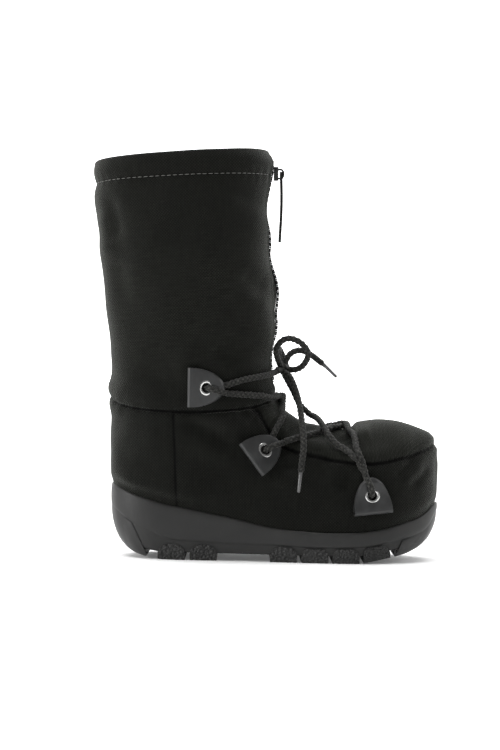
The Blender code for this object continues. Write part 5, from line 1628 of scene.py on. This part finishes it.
class BOOT_OT_lace(bpy.types.Operator):
    """Braids the lace, leads it through the eyelets and ties its bow"""

    bl_idname = "snow_boot.lace"
    bl_label = "Lace"

    def laid(self, route, hump=None):
        """The route laid on the cloth, and lifted over the zip or another lace where it crosses them."""
        s, cloth = sizes(), skin()
        out = []
        for p in smooth_run(route, 0.004):
            over = min(1.0, max(0.0, (0.0165 - abs(p.y)) / 0.008)) * (p.z > 1.03 * s.ankle_height)
            lift = 0.0028 * over
            if hump:
                at, reach, height = hump
                lift += height * math.exp(-(((p - at).length / reach) ** 2))
            out.append(cloth.off(p, s.lace * 0.5 + 0.0002 + lift)[0])
        return out

    def from_hole(self, name, side, run):
        """Starts a run in an eyelet's hole."""
        degrees = next(t[1] for t in TABS if t[0] == name)
        centre, along_, across, normal = tab_frame(name, side, degrees)
        s = sizes()
        near = [p for p in run if (p - centre).length > 0.0165]
        toward = (near[0] - centre)
        toward = (toward - normal * toward.dot(normal)).normalized()
        top = 0.0019 + s.lace * 0.5 + 0.0009
        return [centre - normal * 0.0035 + toward * 0.0002, centre + normal * 0.0012 + toward * 0.0008,
                centre + toward * 0.0042 + normal * (top + 0.0004), centre + toward * 0.0090 + normal * (top + 0.0006)
                ] + near

    def from_behind(self, name, side, run):
        """Starts a run behind a tab."""
        degrees = next(t[1] for t in TABS if t[0] == name)
        centre, along_, across, normal = tab_frame(name, side, degrees)
        near = [p for p in run if (p - centre).length > 0.0140]
        return [centre - normal * 0.0022] + near

    def execute(self, context):
        s = sizes()
        radius = s.lace / 2
        flip = lambda run: [Vector((p.x, -p.y, p.z)) for p in run]
        pts = lambda route: [place_of(p) for p in route]
        lower, middle = pts(LOWER_TO_CREST), pts(MIDDLE_TO_CREST)
        crest = place_of(CREST_CROSSING)
        on_crest = skin().off(crest, 0.0)[0]
        made = []
        low_a = self.laid(lower + [crest] + flip(middle[::-1]), (on_crest, 0.012, s.lace * 0.6))
        low_b = self.laid(flip(lower) + [crest] + middle[::-1])
        for name, run, first, last in (("lace_crest_a", low_a, ("lower", "outer"), ("middle", "inner")),
                                       ("lace_crest_b", low_b, ("lower", "inner"), ("middle", "outer"))):
            run = self.from_hole(*first, run)
            run = self.from_hole(*last, run[::-1])
            made.append(self.finish(name, run, radius, "lace_vamp_cross"))
        rise = self.laid(pts(LOWER_TO_RISE))
        stacked = []
        for k, p in enumerate(rise):
            t = k / (len(rise) - 1)
            lift = s.lace * 0.95 * float(ease((t - 0.3) / 0.35))
            stacked.append(skin().off(p, s.lace * 0.5 + 0.0002 + lift)[0])
        bar = self.from_behind("lower", "outer", stacked)
        made.append(self.finish("lace_rise_bar", bar, radius, "lace_vamp_bar"))
        throat = place_of(THROAT_CROSSING)
        on_throat = skin().off(throat, 0.0)[0]
        upper_, ankle = pts(UPPER_TO_THROAT), pts(MIDDLE_TO_THROAT)
        cross_a = self.laid(upper_ + [throat] + flip(ankle[::-1]), (on_throat, 0.010, s.lace * 0.8))
        cross_b = self.laid(flip(upper_) + [throat] + ankle[::-1])
        for name, run, first, last in (("lace_throat_a", cross_a, ("upper", "outer"), ("middle", "inner")),
                                       ("lace_throat_b", cross_b, ("upper", "inner"), ("middle", "outer"))):
            run = self.from_hole(*first, run)
            run = self.from_behind(*last, run[::-1])
            made.append(self.finish(name, run, radius, "lace_throat_cross"))
        knot = place_of(KNOT_AT)
        high = self.laid(pts(UPPER_TO_KNOT))
        for side, run in (("outer", high), ("inner", flip(high))):
            run = self.from_behind("upper", side, run)
            run = run[:-1] + [knot + (run[-2] - knot).normalized() * 0.0035]
            made.append(self.finish(f"lace_to_knot_{side}", run, radius, f"lace_ankle_{side}"))
        tied = self.knot(knot, radius)
        free = (("bow_rise", "lace_rise", [stacked[-1]] + pts(LACE_RISE)[1:], "knot", None),
                ("bow_loop_a", "bow_loop_outer", pts(BOW_OUTER), "object", None),
                ("bow_loop_b", "bow_loop_inner", pts(BOW_INNER), "object", None),
                ("bow_end_a", "lace_end_front", pts(END_FRONT), "fitting", "aglet_front"),
                ("bow_end_b", "lace_end_outer", pts(END_OUTER), "fitting", "aglet_outer"))
        for name, node, run, far, tip in free:
            if name != "bow_rise":
                run[0] = knot + (run[1] - knot).normalized() * 0.0036
            if far in ("object", "knot"):
                run[-1] = knot + (run[-2] - knot).normalized() * 0.0036
            piece, path = braid(name, run, radius, True, True)
            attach(piece, "boot")
            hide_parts(node)
            pieces = list(tied) if far == "knot" else []
            if tip:
                pieces.append(self.aglet(tip, path))
        return {"FINISHED"}

    def finish(self, name, run, radius, node):
        piece, _ = braid(name, run, radius)
        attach(piece, "boot")
        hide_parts(node)
        return piece

    def knot(self, at, radius):
        """Two turns of lace drawn tight round each other."""
        turns = []
        for k in range(29):
            a = 2 * math.pi * k / 24
            turns.append(at + Vector((0.0034 * math.cos(a), -0.0042 * math.sin(a), -0.0022 + 0.0046 * k / 28)))
        first, _ = braid("knot_turn", turns, radius * 0.92)
        ring = []
        for k in range(27):
            a = 2 * math.pi * k / 24
            ring.append(at + Vector((0.0006 + 0.0012 * k / 26, 0.0030 * math.cos(a), 0.0034 * math.sin(a))))
        second, _ = braid("knot_wrap", ring, radius * 0.85)
        for piece in (first, second):
            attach(piece, "boot")
        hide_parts("lace_knot")
        return first, second

    def aglet(self, node, path):
        ahead = (path[-1] - path[-4]).normalized()
        low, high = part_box(node)
        centre = (low + high) / 2
        tip = path[-1] + (centre - path[-1]) * 2
        way = (tip - path[-1]).normalized()
        run = [path[-1] - ahead * 0.0012, path[-1] + way * 0.003, path[-1] + way * 0.008, tip - way * 0.0006, tip]
        points, faces, sides = [], [], 14
        radii = (0.00195, 0.00165, 0.00150, 0.00135, 0.00080)
        for k, (p, r) in enumerate(zip(run, radii)):
            heading = (run[min(k + 1, 4)] - run[max(k - 1, 0)]).normalized()
            side = heading.cross(Vector((0.2, 1, 0.1))).normalized()
            up = side.cross(heading)
            for a in range(sides):
                turn = 2 * math.pi * a / sides
                points.append(p + side * math.cos(turn) * r + up * math.sin(turn) * r)
        for k in range(4):
            for a in range(sides):
                b = (a + 1) % sides
                faces.append((k * sides + a, k * sides + b, (k + 1) * sides + b, (k + 1) * sides + a))
        faces += [tuple(range(sides))[::-1], tuple(4 * sides + a for a in range(sides))]
        made = outward(mesh_piece(f"{node}_tip", points, faces, look("aglet")))
        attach(made, "boot")
        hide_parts(node)
        return made


class BOOT_PT_panel(bpy.types.Panel):
    """Lists the boot's steps, sizes and colours"""

    bl_label = "Snow boot"
    bl_idname = "BOOT_PT_panel"
    bl_space_type = "VIEW_3D"
    bl_region_type = "UI"
    bl_category = "Snow Boot"

    def draw(self, context):
        for step in STEPS:
            self.layout.operator(step.bl_idname)
        for group in (context.scene.snow_boot_sizes, context.scene.snow_boot_colours):
            column = self.layout.column(align=True)
            for name in group.bl_rna.properties.keys():
                if name not in ("rna_type", "name"):
                    column.prop(group, name)


STEPS = (BOOT_OT_stage, BOOT_OT_upper, BOOT_OT_hem, BOOT_OT_sole, BOOT_OT_insole, BOOT_OT_tabs, BOOT_OT_zip,
         BOOT_OT_lace)
CLASSES = (SnowBootSizes, SnowBootColours, *STEPS, BOOT_PT_panel)


def register():
    for made in CLASSES:
        bpy.utils.register_class(made)
    bpy.types.Scene.snow_boot_sizes = bpy.props.PointerProperty(type=SnowBootSizes)
    bpy.types.Scene.snow_boot_colours = bpy.props.PointerProperty(type=SnowBootColours)


def unregister():
    del bpy.types.Scene.snow_boot_sizes
    del bpy.types.Scene.snow_boot_colours
    for made in reversed(CLASSES):
        bpy.utils.unregister_class(made)


def main():
    register()
    bpy.ops.snow_boot.stage()
    bpy.ops.snow_boot.upper()
    bpy.ops.snow_boot.hem()
    bpy.ops.snow_boot.sole()
    bpy.ops.snow_boot.insole()
    bpy.ops.snow_boot.tabs()
    bpy.ops.snow_boot.zip()
    bpy.ops.snow_boot.lace()


if __name__ == "__main__":
    main()
